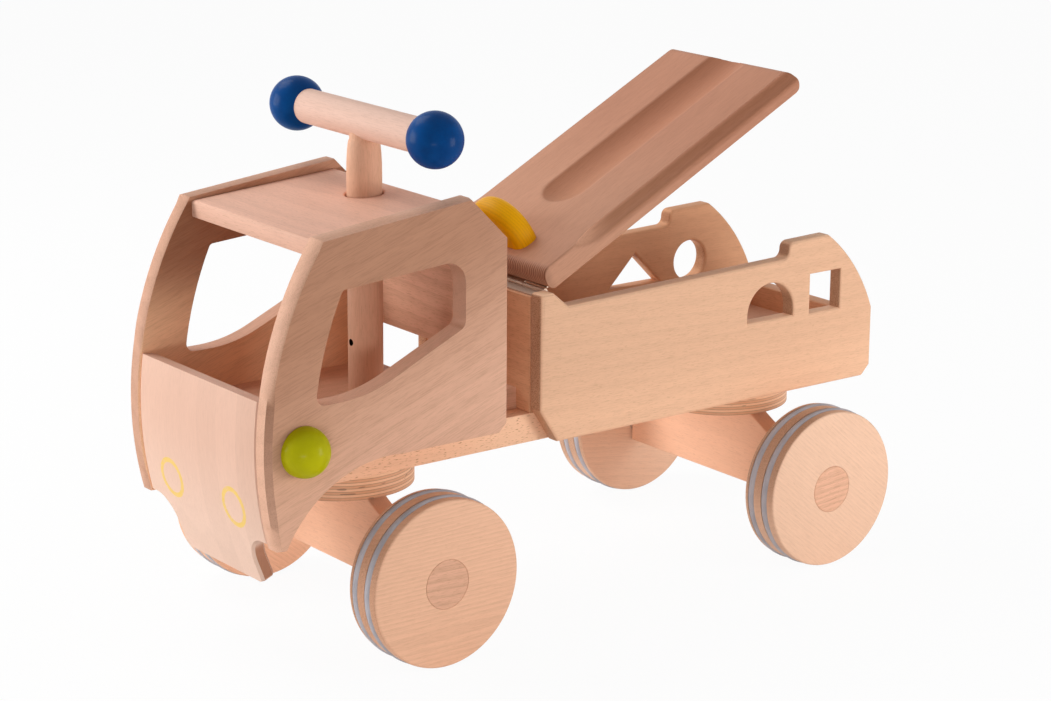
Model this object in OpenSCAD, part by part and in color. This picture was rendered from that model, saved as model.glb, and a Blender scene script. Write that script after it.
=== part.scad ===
// Wooden ride-on truck: beech boards, a curved cab front, a steered front axle,
// four wheels with rubber rings and a hinged seat lid over an open load box.
// Millimetres. X points forward, Y to the left, Z up; the floor is Z = 0.

/* [Body] */
// Length from the cab's foremost point to the load box's rear edge
body_length = 641; // [580:1:700]
// Foremost point of the cab ahead of the front axle
front_overhang = 134.5; // [132:0.5:140]
// Rear edge of the load box behind the rear axle
rear_overhang = 100.5; // [94:0.5:108]
// Open length between the cab sides and the box sides
waist_l = 46.7; // [40:0.1:54]
// Thickness of the long chassis board
chassis_t = 24; // [20:1:28]
// Thickness of the floor boards on the chassis
floor_t = 18; // [16:1:22]
// Width of the block that joins the cab to the load box
spine_w = 108; // [90:1:130]

/* [Cab] */
// Width over the two cab sides
cab_width = 208.8; // [204:0.2:212]
// Thickness of the cab sides
cab_side_t = 17; // [15:0.5:19]
// Length of the cab sides at their foremost point
cab_length = 225; // [218:1:232]
// Height of the cab sides from the lower edge to the rear roof corner
cab_height = 194.6; // [186:0.2:204]
// Fall of the sides' upper edge towards the front, in degrees
side_slope = 6.14; // [5:0.01:6.5]
// Fall of the roof board and of the window's upper edge, in degrees
roof_slope = 4.23; // [3.8:0.01:5]
// Cut across the upper rear corner of the cab
back_cut = 35; // [28:1:40]
// Cut across the lower rear corner of the cab
skirt_cut = 8; // [4:1:12]
// Radius of the curved cab front
front_r = 285; // [270:1:310]
// Height of the foremost point above the lower edge of the cab sides
crown_rise = 16; // [8:1:24]
// Radius of the wheel arch
arch_r = 106; // [102:1:110]
// Arch centre ahead of the front axle
arch_lead = 22.6; // [20:0.2:26]
// Depth of the front tip below the lower edge of the cab sides
tip_drop = 58; // [50:1:64]
// Post behind the side window
rear_post = 41.5; // [36:0.5:46]
// Post in front of the side window, measured level
front_post = 42; // [38:0.5:48]
// Upper edge of the side window below the roof board's upper face
header = 39.4; // [36:0.2:46]
// Height of the window sill above the lower edge of the cab sides
sill_rise = 52.5; // [46:0.5:58]
// Rise of the rear part of the sill, in degrees
sill_slope = 24.1; // [18:0.1:28]
// Radius of the bend in the sill
sill_bend_r = 120; // [90:1:140]
// Thickness of the roof board
roof_t = 14; // [12:0.5:18]
// Roof board below the rear roof corner of the sides
roof_drop = 7.6; // [6:0.1:10]
// Length of the roof board
roof_length = 136; // [130:1:142]
// Thickness of the curved front panel
panel_t = 12; // [10:0.5:15]
// Height of the front panel's upper edge above the lower edge of the sides
panel_rise = 58.5; // [50:0.5:66]
// Height of the front panel's shoulders below the lower edge of the sides
shoulder_drop = 55; // [48:0.5:60]
// Lowest edge of the front panel's tongue below the lower edge of the sides
tongue_drop = 98.5; // [90:0.5:104]
// Width of the tongue
tongue_w = 115; // [100:1:126]
// Radius of the hollow between shoulder and tongue
shoulder_r = 24; // [16:1:28]
// Radius of the lower corners of the tongue
tongue_r = 14; // [8:1:18]
// Thickness of the board behind the driver
back_t = 12; // [10:0.5:16]
// Height of the lower edge of that board above the lower edge of the sides
back_rise = 60; // [50:1:70]
// Diameter of the round knobs on the cab sides
knob_d = 40; // [32:1:46]
// Height of the knob's straight collar
knob_collar = 3; // [2:0.5:6]
// Knob centre behind the foremost point
knob_back = 31.5; // [29:0.5:36]
// Knob centre above the lower edge of the cab sides
knob_rise = 19.6; // [14:0.2:26]

/* [Load box] */
// Width over the two box sides
box_width = 173; // [168:0.5:178]
// Thickness of the box boards
box_t = 14.5; // [12:0.5:16]
// Height of the straight upper edge at its front end above the chassis underside
box_height = 112.9; // [106:0.1:118]
// Rise of the straight upper edge towards the rear
box_rise = 6.4; // [4:0.1:8]
// Height of the front horns above the straight edge
horn_h = 12.9; // [11:0.1:13.5]
// Length of the horns along their top
horn_l = 13.3; // [12:0.1:13.6]
// Length of the slope behind the horn
horn_run = 15.5; // [12:0.5:20]
// Height of the rear bumps above the straight edge
bump_h = 13.6; // [11:0.1:14]
// Step up to the bump, measured from the rear edge
bump_back = 101; // [94:0.5:108]
// Length of the bump's top
bump_l = 46.5; // [42:0.5:52]
// Radius of the curve from the bump down to the rear edge
tail_r = 155; // [120:1:200]
// Height of the upright rear edge above the chassis underside
tail_h = 62; // [54:0.5:70]
// Length and height of the cut across the lower front corner
heel_cut = [18.8, 29];
// Cut across the lower rear corner
tail_cut = 9; // [5:0.5:12]
// Height of the front wall above the floor
wall_h = 80; // [78:0.5:80.2]
// Height of the low rear wall above the floor
sill_h = 20; // [15:0.5:26]
// Rear wall in from the rear edge
sill_inset = 14.5; // [10:0.5:18]
// Height of the shape holes' centres above the chassis underside
hole_rise = 84; // [80:0.5:88]
// Width of the arched hole
arch_hole_w = 51.4; // [44:0.2:54]
// Straight part of the arched hole's sides
arch_hole_side = 6.3; // [3:0.1:8]
// Centre of the arched hole ahead of the rear edge
arch_hole_x = 120.2; // [116:0.2:124]
// Side of the square hole
square_hole_w = 35; // [30:0.5:38]
// Centre of the square hole ahead of the rear edge
square_hole_x = 57; // [55:0.5:60]
// Long side of the triangular hole
triangle_hole_w = 57.9; // [50:0.1:60]
// Centre of the triangular hole ahead of the rear edge
triangle_hole_x = 140.7; // [136:0.1:146]
// Diameter of the round hole
round_hole_d = 36.4; // [30:0.2:40]
// Centre of the round hole ahead of the rear edge
round_hole_x = 76.3; // [72:0.1:80]

/* [Seat lid] */
// Angle of the lid above level
lid_angle = 27.34; // [20:0.01:50]
// Length by which the lid is shorter than the box sides
lid_short = 68.3; // [64:0.1:80]
// Width of the lid
lid_w = 162; // [154:0.5:166]
// Thickness of the lid
lid_t = 20.8; // [19:0.2:24]
// Radius of the lid's rounded ends
lid_nose_r = 9; // [7:0.5:9.4]
// Width of the hollow along the lid
groove_w = 48; // [38:1:54]
// Depth of the hollow along the lid
groove_depth = 3.6; // [2:0.1:4.5]
// Front end of the hollow behind the lid's front end
groove_start = 76; // [70:1:90]
// Radius of the hollows along the lid's upper edges
cove_r = 16; // [12:0.5:24]
// Width of those hollows on the lid's top
cove_in = 7; // [4:0.5:9]
// Height of those hollows on the lid's sides
cove_drop = 9.5; // [6:0.5:11]
// Front end of those hollows behind the lid's front end
cove_start = 40; // [35:1:55]
// Length over which those hollows run out
cove_run = 25; // [18:1:30]
// Radius of the upright half-round pommel
pommel_r = 36; // [32:0.5:42]
// Thickness of the pommel
pommel_t = 22.4; // [19:0.2:24]
// Pommel centre behind the lid's front end
pommel_back = 25.5; // [24:0.5:34]
// Rounding of the pommel's rim
pommel_edge = 9; // [4:0.5:9]

/* [Hinge] */
// Clearance between each end of the hinge and the box side
hinge_gap = 2; // [1:0.5:17]
// Radius of the hinge knuckles
knuckle_r = 2.2; // [2:0.05:2.3]
// Radius of the hinge pin
pin_r = 1.1; // [0.9:0.05:1.2]
// Thickness of the hinge leaves
leaf_t = 1.2; // [0.9:0.05:1.3]
// Width of the hinge leaves from the pin
leaf_w = 15; // [12:0.5:16]

/* [Steering] */
// Steering axis behind the front axle
steer_back = 25.7; // [24:0.1:28]
// Diameter of the steering column and of the handlebar
dowel_d = 28.5; // [26:0.1:29.5]
// Height of the handlebar above the lower edge of the cab sides
bar_rise = 242.7; // [236:0.1:250]
// Diameter of the column's upper end in the handlebar
neck_d = 23.4; // [20:0.2:24]
// Length of the column's rounded shoulder below the handlebar
neck_l = 27; // [20:0.5:32]
// Diameter of the handle balls
ball_d = 45; // [40:0.5:50]
// Distance between the centres of the handle balls
ball_span = 193.6; // [180:0.2:204]
// Diameter of the small hole in the front of the column
pilot_d = 5.5; // [3:0.1:7]
// Height of that hole above the lower edge of the cab sides
pilot_rise = 64; // [58:0.5:74]

/* [Running gear] */
// Diameter of the wooden wheels
wheel_d = 136; // [132:0.5:138]
// Thickness of the wheels
wheel_t = 35.6; // [33:0.2:38]
// Distance between the inner faces of a pair of wheels
track_in = 226; // [224:0.5:234]
// Rubber rings standing proud of the wheel
ring_proud = 1; // [0.6:0.1:1.6]
// Diameter of the rubber rings' cord
ring_d = 6.6; // [5.5:0.1:7.4]
// Middle of the inner ring from the wheel's inner face
ring_inner = 7.6; // [6:0.1:9]
// Middle of the outer ring from the wheel's inner face
ring_outer = 24; // [22:0.1:26]
// Bevel of the wheel's rim
rim_bevel = 1.8; // [1:0.1:3]
// Diameter of the plug over the axle end
plug_d = 40; // [34:0.5:44]
// Thickness of the plug
plug_t = 6; // [4:0.5:6.5]
// Depth of the recess under the plug
hub_depth = 15; // [14.5:0.5:18]
// Diameter of the axle rods
axle_d = 10; // [8:0.1:11]
// Thickness of the axle beams
beam_t = 18; // [16:0.5:22]
// Height of the axle beams
beam_h = 66; // [60:0.5:70]
// Lower edge of the beams below the axle
beam_drop = 18; // [14:0.5:22]
// Width of the beams along their top
beam_top_w = 96; // [84:1:106]
// Height of the beams at their ends
beam_end_h = 33; // [30:0.5:40]
// Radius of the round plywood spacers
disc_r = 60; // [56:0.5:64]
// Thickness of the round plywood spacers
disc_t = 24; // [20:0.5:28]

/* [Fits] */
// Clearance of the column in the chassis and the cab floor
column_gap = 0.4; // [0.3:0.05:0.8]
// Clearance of the column in the roof board
roof_gap = 1.3; // [0.6:0.1:2]
// Clearance under the chassis for the turning spacer
turn_gap = 0.4; // [0.3:0.05:1]
// Clearance of the wheels on their axles
axle_gap = 0.3; // [0.3:0.05:0.5]
// Clearance of the hinge pin in the moving knuckles
pin_gap = 0.08; // [0.05:0.01:0.1]
// Clearance of pieces that are glued or pressed together
glue_gap = 0.05; // [0.02:0.01:0.1]

/* [Hidden] */
$fn = 96;
beech = [0.86, 0.69, 0.52];
beech_dark = [0.76, 0.58, 0.42];
ply = [0.82, 0.66, 0.48];
rubber = [0.45, 0.44, 0.43];
steel = [0.72, 0.72, 0.72];
blue = [0.06, 0.16, 0.62];
green = [0.55, 0.76, 0.16];
amber = [0.93, 0.66, 0.16];

// Lengthwise positions
x_front = body_length / 2;
x_rear = -body_length / 2;
box_length = body_length - cab_length - waist_l;
front_x = x_front - front_overhang;
rear_x = x_rear + rear_overhang;
steer_x = front_x - steer_back;
cab_rear_x = x_front - cab_length;
box_front_x = x_rear + box_length;
sill_x = x_rear + sill_inset;
wall_x = box_front_x - box_t;
chassis_nose = 76;
chassis_front_x = front_x + chassis_nose;
floor_inset = 1;
cab_floor_x = cab_rear_x + floor_inset;

// Heights, built up from the floor
axle_z = wheel_d / 2 + ring_proud;
beam_z = axle_z - beam_drop;
disc_z = beam_z + beam_h;
chassis_z = disc_z + disc_t;
skirt_z = chassis_z + chassis_t;
floor_z = skirt_z + floor_t;
peak_z = skirt_z + cab_height;
crown_z = skirt_z + crown_rise;
tip_z = skirt_z - tip_drop;
sill_z = skirt_z + sill_rise;
bar_z = skirt_z + bar_rise;
edge_z = chassis_z + box_height;
horn_z = edge_z + horn_h;
bump_z = edge_z + box_rise + bump_h;
wall_z = floor_z + wall_h;
hole_z = chassis_z + hole_rise;

// Half widths
cab_in = cab_width / 2 - cab_side_t;
cab_out = cab_width / 2;
box_in = box_width / 2 - box_t;
box_out = box_width / 2;
hub_gap = 2;
beam_y = track_in / 2 - hub_gap;
wheel_y = track_in / 2;
wheel_out = wheel_y + wheel_t;

// Cab front and roof
nose_x = x_front - front_r;
panel_inset = 0.6;
panel_r = front_r - panel_inset;
panel_in_r = panel_r - panel_t;
floor_gap = 0.2;
floor_front_x = nose_x + sqrt(pow(panel_in_r, 2) - pow(crown_rise, 2)) - floor_gap;
peak_x = cab_rear_x + back_cut;
back_inset = 1.5;
back_x = cab_rear_x + back_inset;
roof_back = 0.5;
sill_bend_back = 118;
window_r = [17, 8, 7, 4];
knob_x = x_front - knob_back;
knob_z = skirt_z + knob_rise;
arch_x = front_x + arch_lead;
arch_rise = 0.6;
pad = 20;
over = 1;
panel_back = 40;
box_r = [0, 4, 3, 3, 4, 6.5, 6.5, 4];
function top_at(x) = peak_z - tan(side_slope) * (x - peak_x);
function roof_at(x) = peak_z - roof_drop - tan(roof_slope) * (x - peak_x);

// Hinge and lid
hinge_clear = 0.35;
hinge_rise = 1.6;
hinge_x = wall_x - knuckle_r - hinge_clear;
hinge_z = wall_z + hinge_rise;
lid_l = box_length - lid_short;
lid_nose = 1.5;
lid_lift = 2.6;
lid_top = lid_lift + lid_t;
lid_end = lid_nose - lid_l;
groove_r = (pow(groove_w / 2, 2) + pow(groove_depth, 2)) / (2 * groove_depth);
hinge_l = 2 * (box_in - hinge_gap);
knuckles = 5;
knuckle_l = hinge_l / knuckles;
knuckle_gap = 0.2;
leaf_gap = 0.3;
leaf_bite = 0.4;
pin_end = 0.5;

// Dowels and screws
dowel_pin_r = 4;
dowel_pin_l = 32;
dowel_pin_in = 10;
floor_dowel_x = [28, 150];
roof_dowel_x = 95;
back_dowel_z = 45;
side_dowel_x = [110, 40];
screw_r = 2.2;
screw_head_r = 4.4;
screw_head_h = 2.6;
screw_grip = 26;
screw_y = 30;
hinge_screw_r = 1.3;
hinge_screw_l = 10;
hinge_screw_edge = 6;
peg_r = 5;
peg_l = 9;
pommel_peg_y = 18;
pommel_peg_l = 20;
pommel_peg_in = 8;

// Column and axle fittings
washer_t = 2;
washer_w = 9;
column_pin_r = 2.5;
column_pin_out = 5;
column_pin_lift = 3.2;
neck_in = 6;
cap_w = 4;
cap_t = 5.5;
cap_in = 4;
cap_gap = 0.5;
hub_washer_t = 1.5;
hub_washer_w = 6;

// Points of an arc round a centre, from one angle to another
function arc(centre, r, from, to, steps) =
    [for (i = [0:steps]) centre + r * [cos(from + (to - from) * i / steps), sin(from + (to - from) * i / steps)]];

// The same turn in degrees, taken the short way round
function short_way(turn) = turn > 180 ? turn - 360 : turn < -180 ? turn + 360 : turn;

// Points of a rounded corner at b between a and c
function corner(a, b, c, r, steps) =
    let (
        u = (a - b) / norm(a - b),
        v = (c - b) / norm(c - b),
        half = acos(u * v) / 2,
        o = b + (u + v) / norm(u + v) * r / sin(half),
        s = b + u * r / tan(half) - o,
        e = b + v * r / tan(half) - o,
        from = atan2(s.y, s.x),
        turn = short_way(atan2(e.y, e.x) - from)
    )
    arc(o, r, from, from + turn, steps);

// An outline with the corners rounded to the given radii
function rounded(points, radii, steps = 6) =
    let (n = len(points))
    [for (i = [0:n - 1])
        each radii[i] > 0
            ? corner(points[(i + n - 1) % n], points[i], points[(i + 1) % n], radii[i], steps)
            : [points[i]]];

// Points between a and b on an arc of radius r that bulges to the right of the way from a to b
function bow(a, b, r, steps) =
    let (
        chord = b - a,
        depth = sqrt(r * r - chord * chord / 4),
        o = (a + b) / 2 + [-chord.y, chord.x] / norm(chord) * depth,
        from = atan2(a.y - o.y, a.x - o.x),
        turn = short_way(atan2(b.y - o.y, b.x - o.x) - from)
    )
    [for (i = [1:steps - 1]) o + r * [cos(from + turn * i / steps), sin(from + turn * i / steps)]];

// A board standing lengthwise, from its X and Z outline
module board_along(y0, y1) {
    translate([0, y1, 0])
        rotate([90, 0, 0])
            linear_extrude(y1 - y0)
                children();
}

// A board standing across, from its Y and Z outline
module board_across(x0, x1) {
    translate([x0, 0, 0])
        rotate([90, 0, 90])
            linear_extrude(x1 - x0)
                children();
}

// A flat board between two corners
module slab(low, high) {
    translate(low)
        cube(high - low);
}

// A round bar across the truck
module bar_across(x, z, r, y0, y1) {
    translate([x, y1, z])
        rotate([90, 0, 0])
            cylinder(h = y1 - y0, r = r);
}

// A countersunk wood screw, head upwards, with its head's top at the origin
module screw(r, head_r, head_h, length) {
    translate([0, 0, -length])
        cylinder(h = length - head_h / 2, r = r);
    translate([0, 0, -head_h])
        cylinder(h = head_h, r1 = r, r2 = head_r);
}

module both_sides() {
    children();
    mirror([0, 1, 0])
        children();
}

// Hidden dowels: in the cab sides to the floor, roof and back board
module cab_dowel_set(r) {
    roof_mid = cab_rear_x + roof_dowel_x;
    both_sides()
        for (p = [
            [cab_rear_x + floor_dowel_x[0], skirt_z + floor_t / 2],
            [cab_rear_x + floor_dowel_x[1], skirt_z + floor_t / 2],
            [roof_mid, roof_at(roof_mid) - roof_t / 2],
            [back_x + back_t / 2, skirt_z + back_rise + back_dowel_z]
        ])
            bar_across(p.x, p.y, r, cab_in - dowel_pin_l + dowel_pin_in, cab_in + dowel_pin_in);
}

// Hidden dowels: in the box sides to the chassis and to the front and rear walls
module box_dowel_set(r) {
    both_sides()
        for (p = [
            [box_front_x - side_dowel_x[0], chassis_z + chassis_t / 2],
            [x_rear + side_dowel_x[1], chassis_z + chassis_t / 2],
            [wall_x + box_t / 2, floor_z + wall_h / 2],
            [sill_x + box_t / 2, floor_z + sill_h / 2]
        ])
            bar_across(p.x, p.y, r, box_in - dowel_pin_l + dowel_pin_in, box_in + dowel_pin_in);
}

// Screws down through a spacer into its beam
module disc_screw_set(x, top, grow) {
    for (y = [-screw_y, screw_y])
        translate([x, y, top])
            screw(screw_r + grow, screw_head_r + grow, screw_head_h + grow, disc_t + screw_grip + grow);
}

// Chassis and floors

module chassis_board() {
    color(beech)
        difference() {
            slab([sill_x, -box_in, chassis_z], [chassis_front_x, box_in, skirt_z]);
            translate([steer_x, 0, chassis_z - over])
                cylinder(h = chassis_t + 2 * over, r = dowel_d / 2 + column_gap);
            box_dowel_set(dowel_pin_r + glue_gap);
        }
}

module spine_block() {
    color(beech)
        slab([box_front_x, -spine_w / 2, skirt_z], [cab_floor_x, spine_w / 2, floor_z]);
}

module cab_floor() {
    color(beech)
        difference() {
            slab([cab_floor_x, -cab_in, skirt_z], [floor_front_x, cab_in, floor_z]);
            translate([steer_x, 0, skirt_z - over])
                cylinder(h = floor_t + 2 * over, r = dowel_d / 2 + column_gap);
            cab_dowel_set(dowel_pin_r + glue_gap);
        }
}

module box_floor() {
    color(beech)
        slab([sill_x + box_t, -box_in, skirt_z], [wall_x, box_in, floor_z]);
}

// Cab

// The radius that belongs to point i, or 0 if the point isn't one of the spots
function lookup_r(i, spots, radii) =
    let (found = search(i, spots))
    len(found) > 0 ? radii[found[0]] : 0;

module window_outline() {
    post_x = cab_rear_x + rear_post;
    centre = [nose_x - front_post, crown_z];
    tilt = tan(roof_slope);
    line_z = roof_at(0) - header;
    // Upper front corner: the arc meets the line z = line_z - tilt * x
    half_b = centre.x + tilt * (line_z - centre.y);
    c = pow(centre.x, 2) + pow(line_z - centre.y, 2) - front_r * front_r;
    corner_x = (half_b + sqrt(half_b * half_b - (1 + tilt * tilt) * c)) / (1 + tilt * tilt);
    from = asin((sill_z - centre.y) / front_r);
    to = acos((corner_x - centre.x) / front_r);
    front = arc(centre, front_r, from, to, 8);
    // Sill: level in front, then a bend into the rising rear part
    bend = [post_x + sill_bend_back, sill_z + sill_bend_r];
    sill = arc(bend, sill_bend_r, -90 - sill_slope, -90, 8);
    rear_low = [post_x, sill[0].y + (sill[0].x - post_x) * tan(sill_slope)];
    rear_top = [post_x, line_z - tilt * post_x];
    points = concat([rear_top, rear_low], sill, front);
    low = 2 + len(sill);
    last = len(points) - 1;
    spots = [0, 1, low, last];
    polygon(rounded(points, [for (i = [0:last]) lookup_r(i, spots, window_r)]));
}

module cab_side_outline() {
    difference() {
        intersection() {
            translate([nose_x, crown_z])
                circle(r = front_r, $fn = 180);
            polygon([
                [cab_rear_x + skirt_cut, skirt_z],
                [cab_rear_x, skirt_z + skirt_cut],
                [cab_rear_x, peak_z - back_cut],
                [peak_x, peak_z],
                [x_front + pad, top_at(x_front + pad)],
                [x_front + pad, tip_z],
                [arch_x, tip_z],
                [arch_x, skirt_z]
            ]);
        }
        translate([arch_x, skirt_z + arch_rise - arch_r])
            circle(r = arch_r);
        window_outline();
    }
}

module cab_side() {
    color(beech)
        difference() {
            board_along(cab_in, cab_out)
                cab_side_outline();
            cab_dowel_set(dowel_pin_r + glue_gap);
            bar_across(knob_x, knob_z, peg_r + glue_gap, cab_out - peg_l - over, cab_out + over);
        }
}

module cab_side_left() {
    cab_side();
}

module cab_side_right() {
    mirror([0, 1, 0])
        cab_side();
}

module cab_roof() {
    rear = peak_x + roof_back;
    front = rear + roof_length;
    color(beech)
        difference() {
            board_along(-cab_in, cab_in)
                polygon([
                    [rear, roof_at(rear)],
                    [front, roof_at(front)],
                    [front, roof_at(front) - roof_t],
                    [rear, roof_at(rear) - roof_t]
                ]);
            translate([steer_x, 0, skirt_z])
                cylinder(h = cab_height + pad, r = dowel_d / 2 + roof_gap);
            cab_dowel_set(dowel_pin_r + glue_gap);
        }
}

// The curved front panel: part of a round shell, its shoulders drawn in by a hollow curve
// to the tongue that hangs in front of the axle
module cab_front_panel() {
    panel_top = skirt_z + panel_rise;
    shoulder_z = skirt_z - shoulder_drop;
    tongue_z = skirt_z - tongue_drop;
    outline = [
        [cab_in, panel_top],
        [-cab_in, panel_top],
        [-cab_in, shoulder_z],
        [-tongue_w / 2, shoulder_z],
        [-tongue_w / 2, tongue_z],
        [tongue_w / 2, tongue_z],
        [tongue_w / 2, shoulder_z],
        [cab_in, shoulder_z]
    ];
    color(beech)
        intersection() {
            board_along(-cab_in, cab_in)
                difference() {
                    translate([nose_x, crown_z])
                        circle(r = panel_r, $fn = 180);
                    translate([nose_x, crown_z])
                        circle(r = panel_in_r, $fn = 180);
                }
            board_across(front_x + panel_back, x_front + pad)
                polygon(rounded(outline, [0, 0, 0, shoulder_r, tongue_r, tongue_r, shoulder_r, 0], 8));
        }
}

module cab_back_board() {
    low = skirt_z + back_rise;
    top = peak_z - back_cut - back_inset;
    color(beech)
        difference() {
            board_along(-cab_in, cab_in)
                polygon([
                    [back_x, low],
                    [back_x + back_t, low],
                    [back_x + back_t, top + back_t],
                    [back_x, top]
                ]);
            cab_dowel_set(dowel_pin_r + glue_gap);
        }
}

module side_knob() {
    color(green)
        translate([knob_x, cab_out, knob_z])
            rotate([-90, 0, 0]) {
                cylinder(h = knob_collar, r = knob_d / 2);
                translate([0, 0, -peg_l])
                    cylinder(h = peg_l + knob_collar, r = peg_r);
                difference() {
                    translate([0, 0, knob_collar])
                        sphere(r = knob_d / 2);
                    translate([-knob_d, -knob_d, knob_collar - 2 * knob_d])
                        cube(2 * knob_d);
                }
            }
}

module side_knob_left() {
    side_knob();
}

module side_knob_right() {
    mirror([0, 1, 0])
        side_knob();
}

// Load box

module box_side_outline() {
    step_x = x_rear + bump_back;
    rise = box_rise / (box_length - bump_back - horn_l - horn_run);
    tail = [x_rear, chassis_z + tail_h];
    bump_end = [step_x - bump_l, bump_z + bump_l * rise];
    points = concat(
        [
            [box_front_x - heel_cut.x, chassis_z],
            [box_front_x, chassis_z + heel_cut.y],
            [box_front_x, horn_z],
            [box_front_x - horn_l, horn_z],
            [box_front_x - horn_l - horn_run, edge_z],
            [step_x, edge_z + box_rise],
            [step_x, bump_z],
            bump_end
        ],
        bow(bump_end, tail, tail_r, 10),
        [
            tail,
            [x_rear, chassis_z + tail_cut],
            [x_rear + tail_cut, chassis_z]
        ]
    );
    polygon(rounded(points, [for (i = [0:len(points) - 1]) i < len(box_r) ? box_r[i] : 0]));
}

module box_side() {
    difference() {
        board_along(box_in, box_out)
            box_side_outline();
        box_dowel_set(dowel_pin_r + glue_gap);
    }
}

module box_side_left() {
    low = hole_z - (arch_hole_w / 2 + arch_hole_side) / 2;
    color(beech)
        difference() {
            box_side();
            translate([x_rear + arch_hole_x, 0, low])
                board_along(box_in - over, box_out + over) {
                    translate([-arch_hole_w / 2, 0])
                        square([arch_hole_w, arch_hole_side]);
                    translate([0, arch_hole_side])
                        intersection() {
                            circle(d = arch_hole_w);
                            translate([-arch_hole_w, 0])
                                square([2 * arch_hole_w, arch_hole_w]);
                        }
                }
            translate([x_rear + square_hole_x, 0, hole_z])
                board_along(box_in - over, box_out + over)
                    square(square_hole_w, center = true);
        }
}

module box_side_right() {
    low = hole_z - triangle_hole_w / 4;
    color(beech)
        mirror([0, 1, 0])
            difference() {
                box_side();
                translate([x_rear + triangle_hole_x, 0, low])
                    board_along(box_in - over, box_out + over)
                        polygon([
                            [-triangle_hole_w / 2, 0],
                            [triangle_hole_w / 2, 0],
                            [0, triangle_hole_w / 2]
                        ]);
                bar_across(x_rear + round_hole_x, hole_z, round_hole_d / 2, box_in - over, box_out + over);
            }
}

module box_front_wall() {
    color(beech)
        difference() {
            slab([wall_x, -box_in, skirt_z], [box_front_x, box_in, wall_z]);
            box_dowel_set(dowel_pin_r + glue_gap);
            hinge_screw_fixed_set(glue_gap);
        }
}

module box_rear_wall() {
    color(beech)
        difference() {
            slab([sill_x, -box_in, skirt_z], [sill_x + box_t, box_in, floor_z + sill_h]);
            box_dowel_set(dowel_pin_r + glue_gap);
        }
}

module cab_dowels() {
    color(beech_dark)
        cab_dowel_set(dowel_pin_r);
}

module box_dowels() {
    color(beech_dark)
        box_dowel_set(dowel_pin_r);
}

// Hinge, drawn round its pin with the lid level

module hinge_frame() {
    translate([hinge_x, 0, hinge_z])
        children();
}

module lid_frame() {
    hinge_frame()
        rotate([0, lid_angle, 0])
            children();
}

// Where knuckle i begins along the pin
function knuckle_y(i) = i * knuckle_l - hinge_l / 2;

module knuckle_row(first, bore) {
    for (i = [first:2:knuckles - 1])
        difference() {
            bar_across(0, 0, knuckle_r, knuckle_y(i) + knuckle_gap, knuckle_y(i + 1) - knuckle_gap);
            bar_across(0, 0, bore, -hinge_l, hinge_l);
        }
}

module leaf(first, bore, x0, x1, z0) {
    near = knuckle_r + leaf_gap;
    knuckle_row(first, bore);
    difference() {
        union() {
            slab([x0 < 0 ? x0 : near, -hinge_l / 2, z0], [x0 < 0 ? -near : x1, hinge_l / 2, z0 + leaf_t]);
            for (i = [first:2:knuckles - 1])
                slab(
                    [x0 < 0 ? -near : 0, knuckle_y(i) + knuckle_gap, z0],
                    [x0 < 0 ? 0 : near, knuckle_y(i + 1) - knuckle_gap, z0 + leaf_t]
                );
        }
        bar_across(0, 0, knuckle_r - leaf_bite, -hinge_l, hinge_l);
    }
}

module hinge_screw_row(x) {
    for (y = [-0.4, -0.13, 0.13, 0.4])
        translate([x, y * hinge_l, 0])
            children();
}

module hinge_screw_fixed_set(grow) {
    hinge_frame()
        hinge_screw_row(leaf_w - hinge_screw_edge)
            translate([0, 0, leaf_t - hinge_rise])
                screw(hinge_screw_r + grow, 2 * hinge_screw_r + grow, leaf_t, hinge_screw_l + grow);
}

module hinge_screw_moving_set(grow) {
    lid_frame()
        hinge_screw_row(hinge_screw_edge - leaf_w)
            translate([0, 0, lid_lift - leaf_t])
                mirror([0, 0, 1])
                    screw(hinge_screw_r + grow, 2 * hinge_screw_r + grow, leaf_t, hinge_screw_l + grow);
}

module hinge_leaf_fixed() {
    color(steel)
        difference() {
            hinge_frame()
                leaf(0, pin_r + glue_gap, 0, leaf_w, -hinge_rise);
            hinge_screw_fixed_set(glue_gap);
        }
}

module hinge_leaf_moving() {
    color(steel)
        difference() {
            lid_frame()
                leaf(1, pin_r + pin_gap, -leaf_w, 0, lid_lift - leaf_t);
            hinge_screw_moving_set(glue_gap);
        }
}

module hinge_pin() {
    color(steel)
        hinge_frame()
            bar_across(0, 0, pin_r, -hinge_l / 2 - pin_end, hinge_l / 2 + pin_end);
}

module hinge_screws_fixed() {
    color(steel)
        hinge_screw_fixed_set(0);
}

module hinge_screws_moving() {
    color(steel)
        hinge_screw_moving_set(0);
}

// Seat lid

module pommel_peg_set(r) {
    lid_frame()
        for (y = [-pommel_peg_y, pommel_peg_y])
            translate([lid_nose - pommel_back, y, lid_top - pommel_peg_in])
                cylinder(h = pommel_peg_l, r = r);
}

// A round cutter along the lid's upper edge, which swings out of the wood at its front end:
// its axis lies cove_r from both edges of the hollow, and leaves the lid on a wide arc
module cove_cut() {
    chord = norm([cove_in, cove_drop]);
    out = [cove_drop, cove_in] / chord;
    depth = sqrt(pow(cove_r, 2) - pow(chord / 2, 2));
    axis = [lid_w / 2, lid_top] - [cove_in, cove_drop] / 2 + depth * out;
    // The cutter is clear of the corner once it has moved out by this much
    lift = cove_r - norm(axis - [lid_w / 2, lid_top]);
    sweep_r = (pow(cove_run, 2) + pow(lift, 2)) / (2 * lift);
    translate([lid_nose - cove_start - cove_run, axis.x, axis.y]) {
        rotate([0, -90, 0])
            cylinder(h = lid_l, r = cove_r);
        translate([0, out.x, out.y] * sweep_r)
            rotate([atan2(out.y, out.x), 0, 0])
                rotate_extrude()
                    translate([sweep_r, 0])
                        circle(r = cove_r);
    }
}

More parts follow.
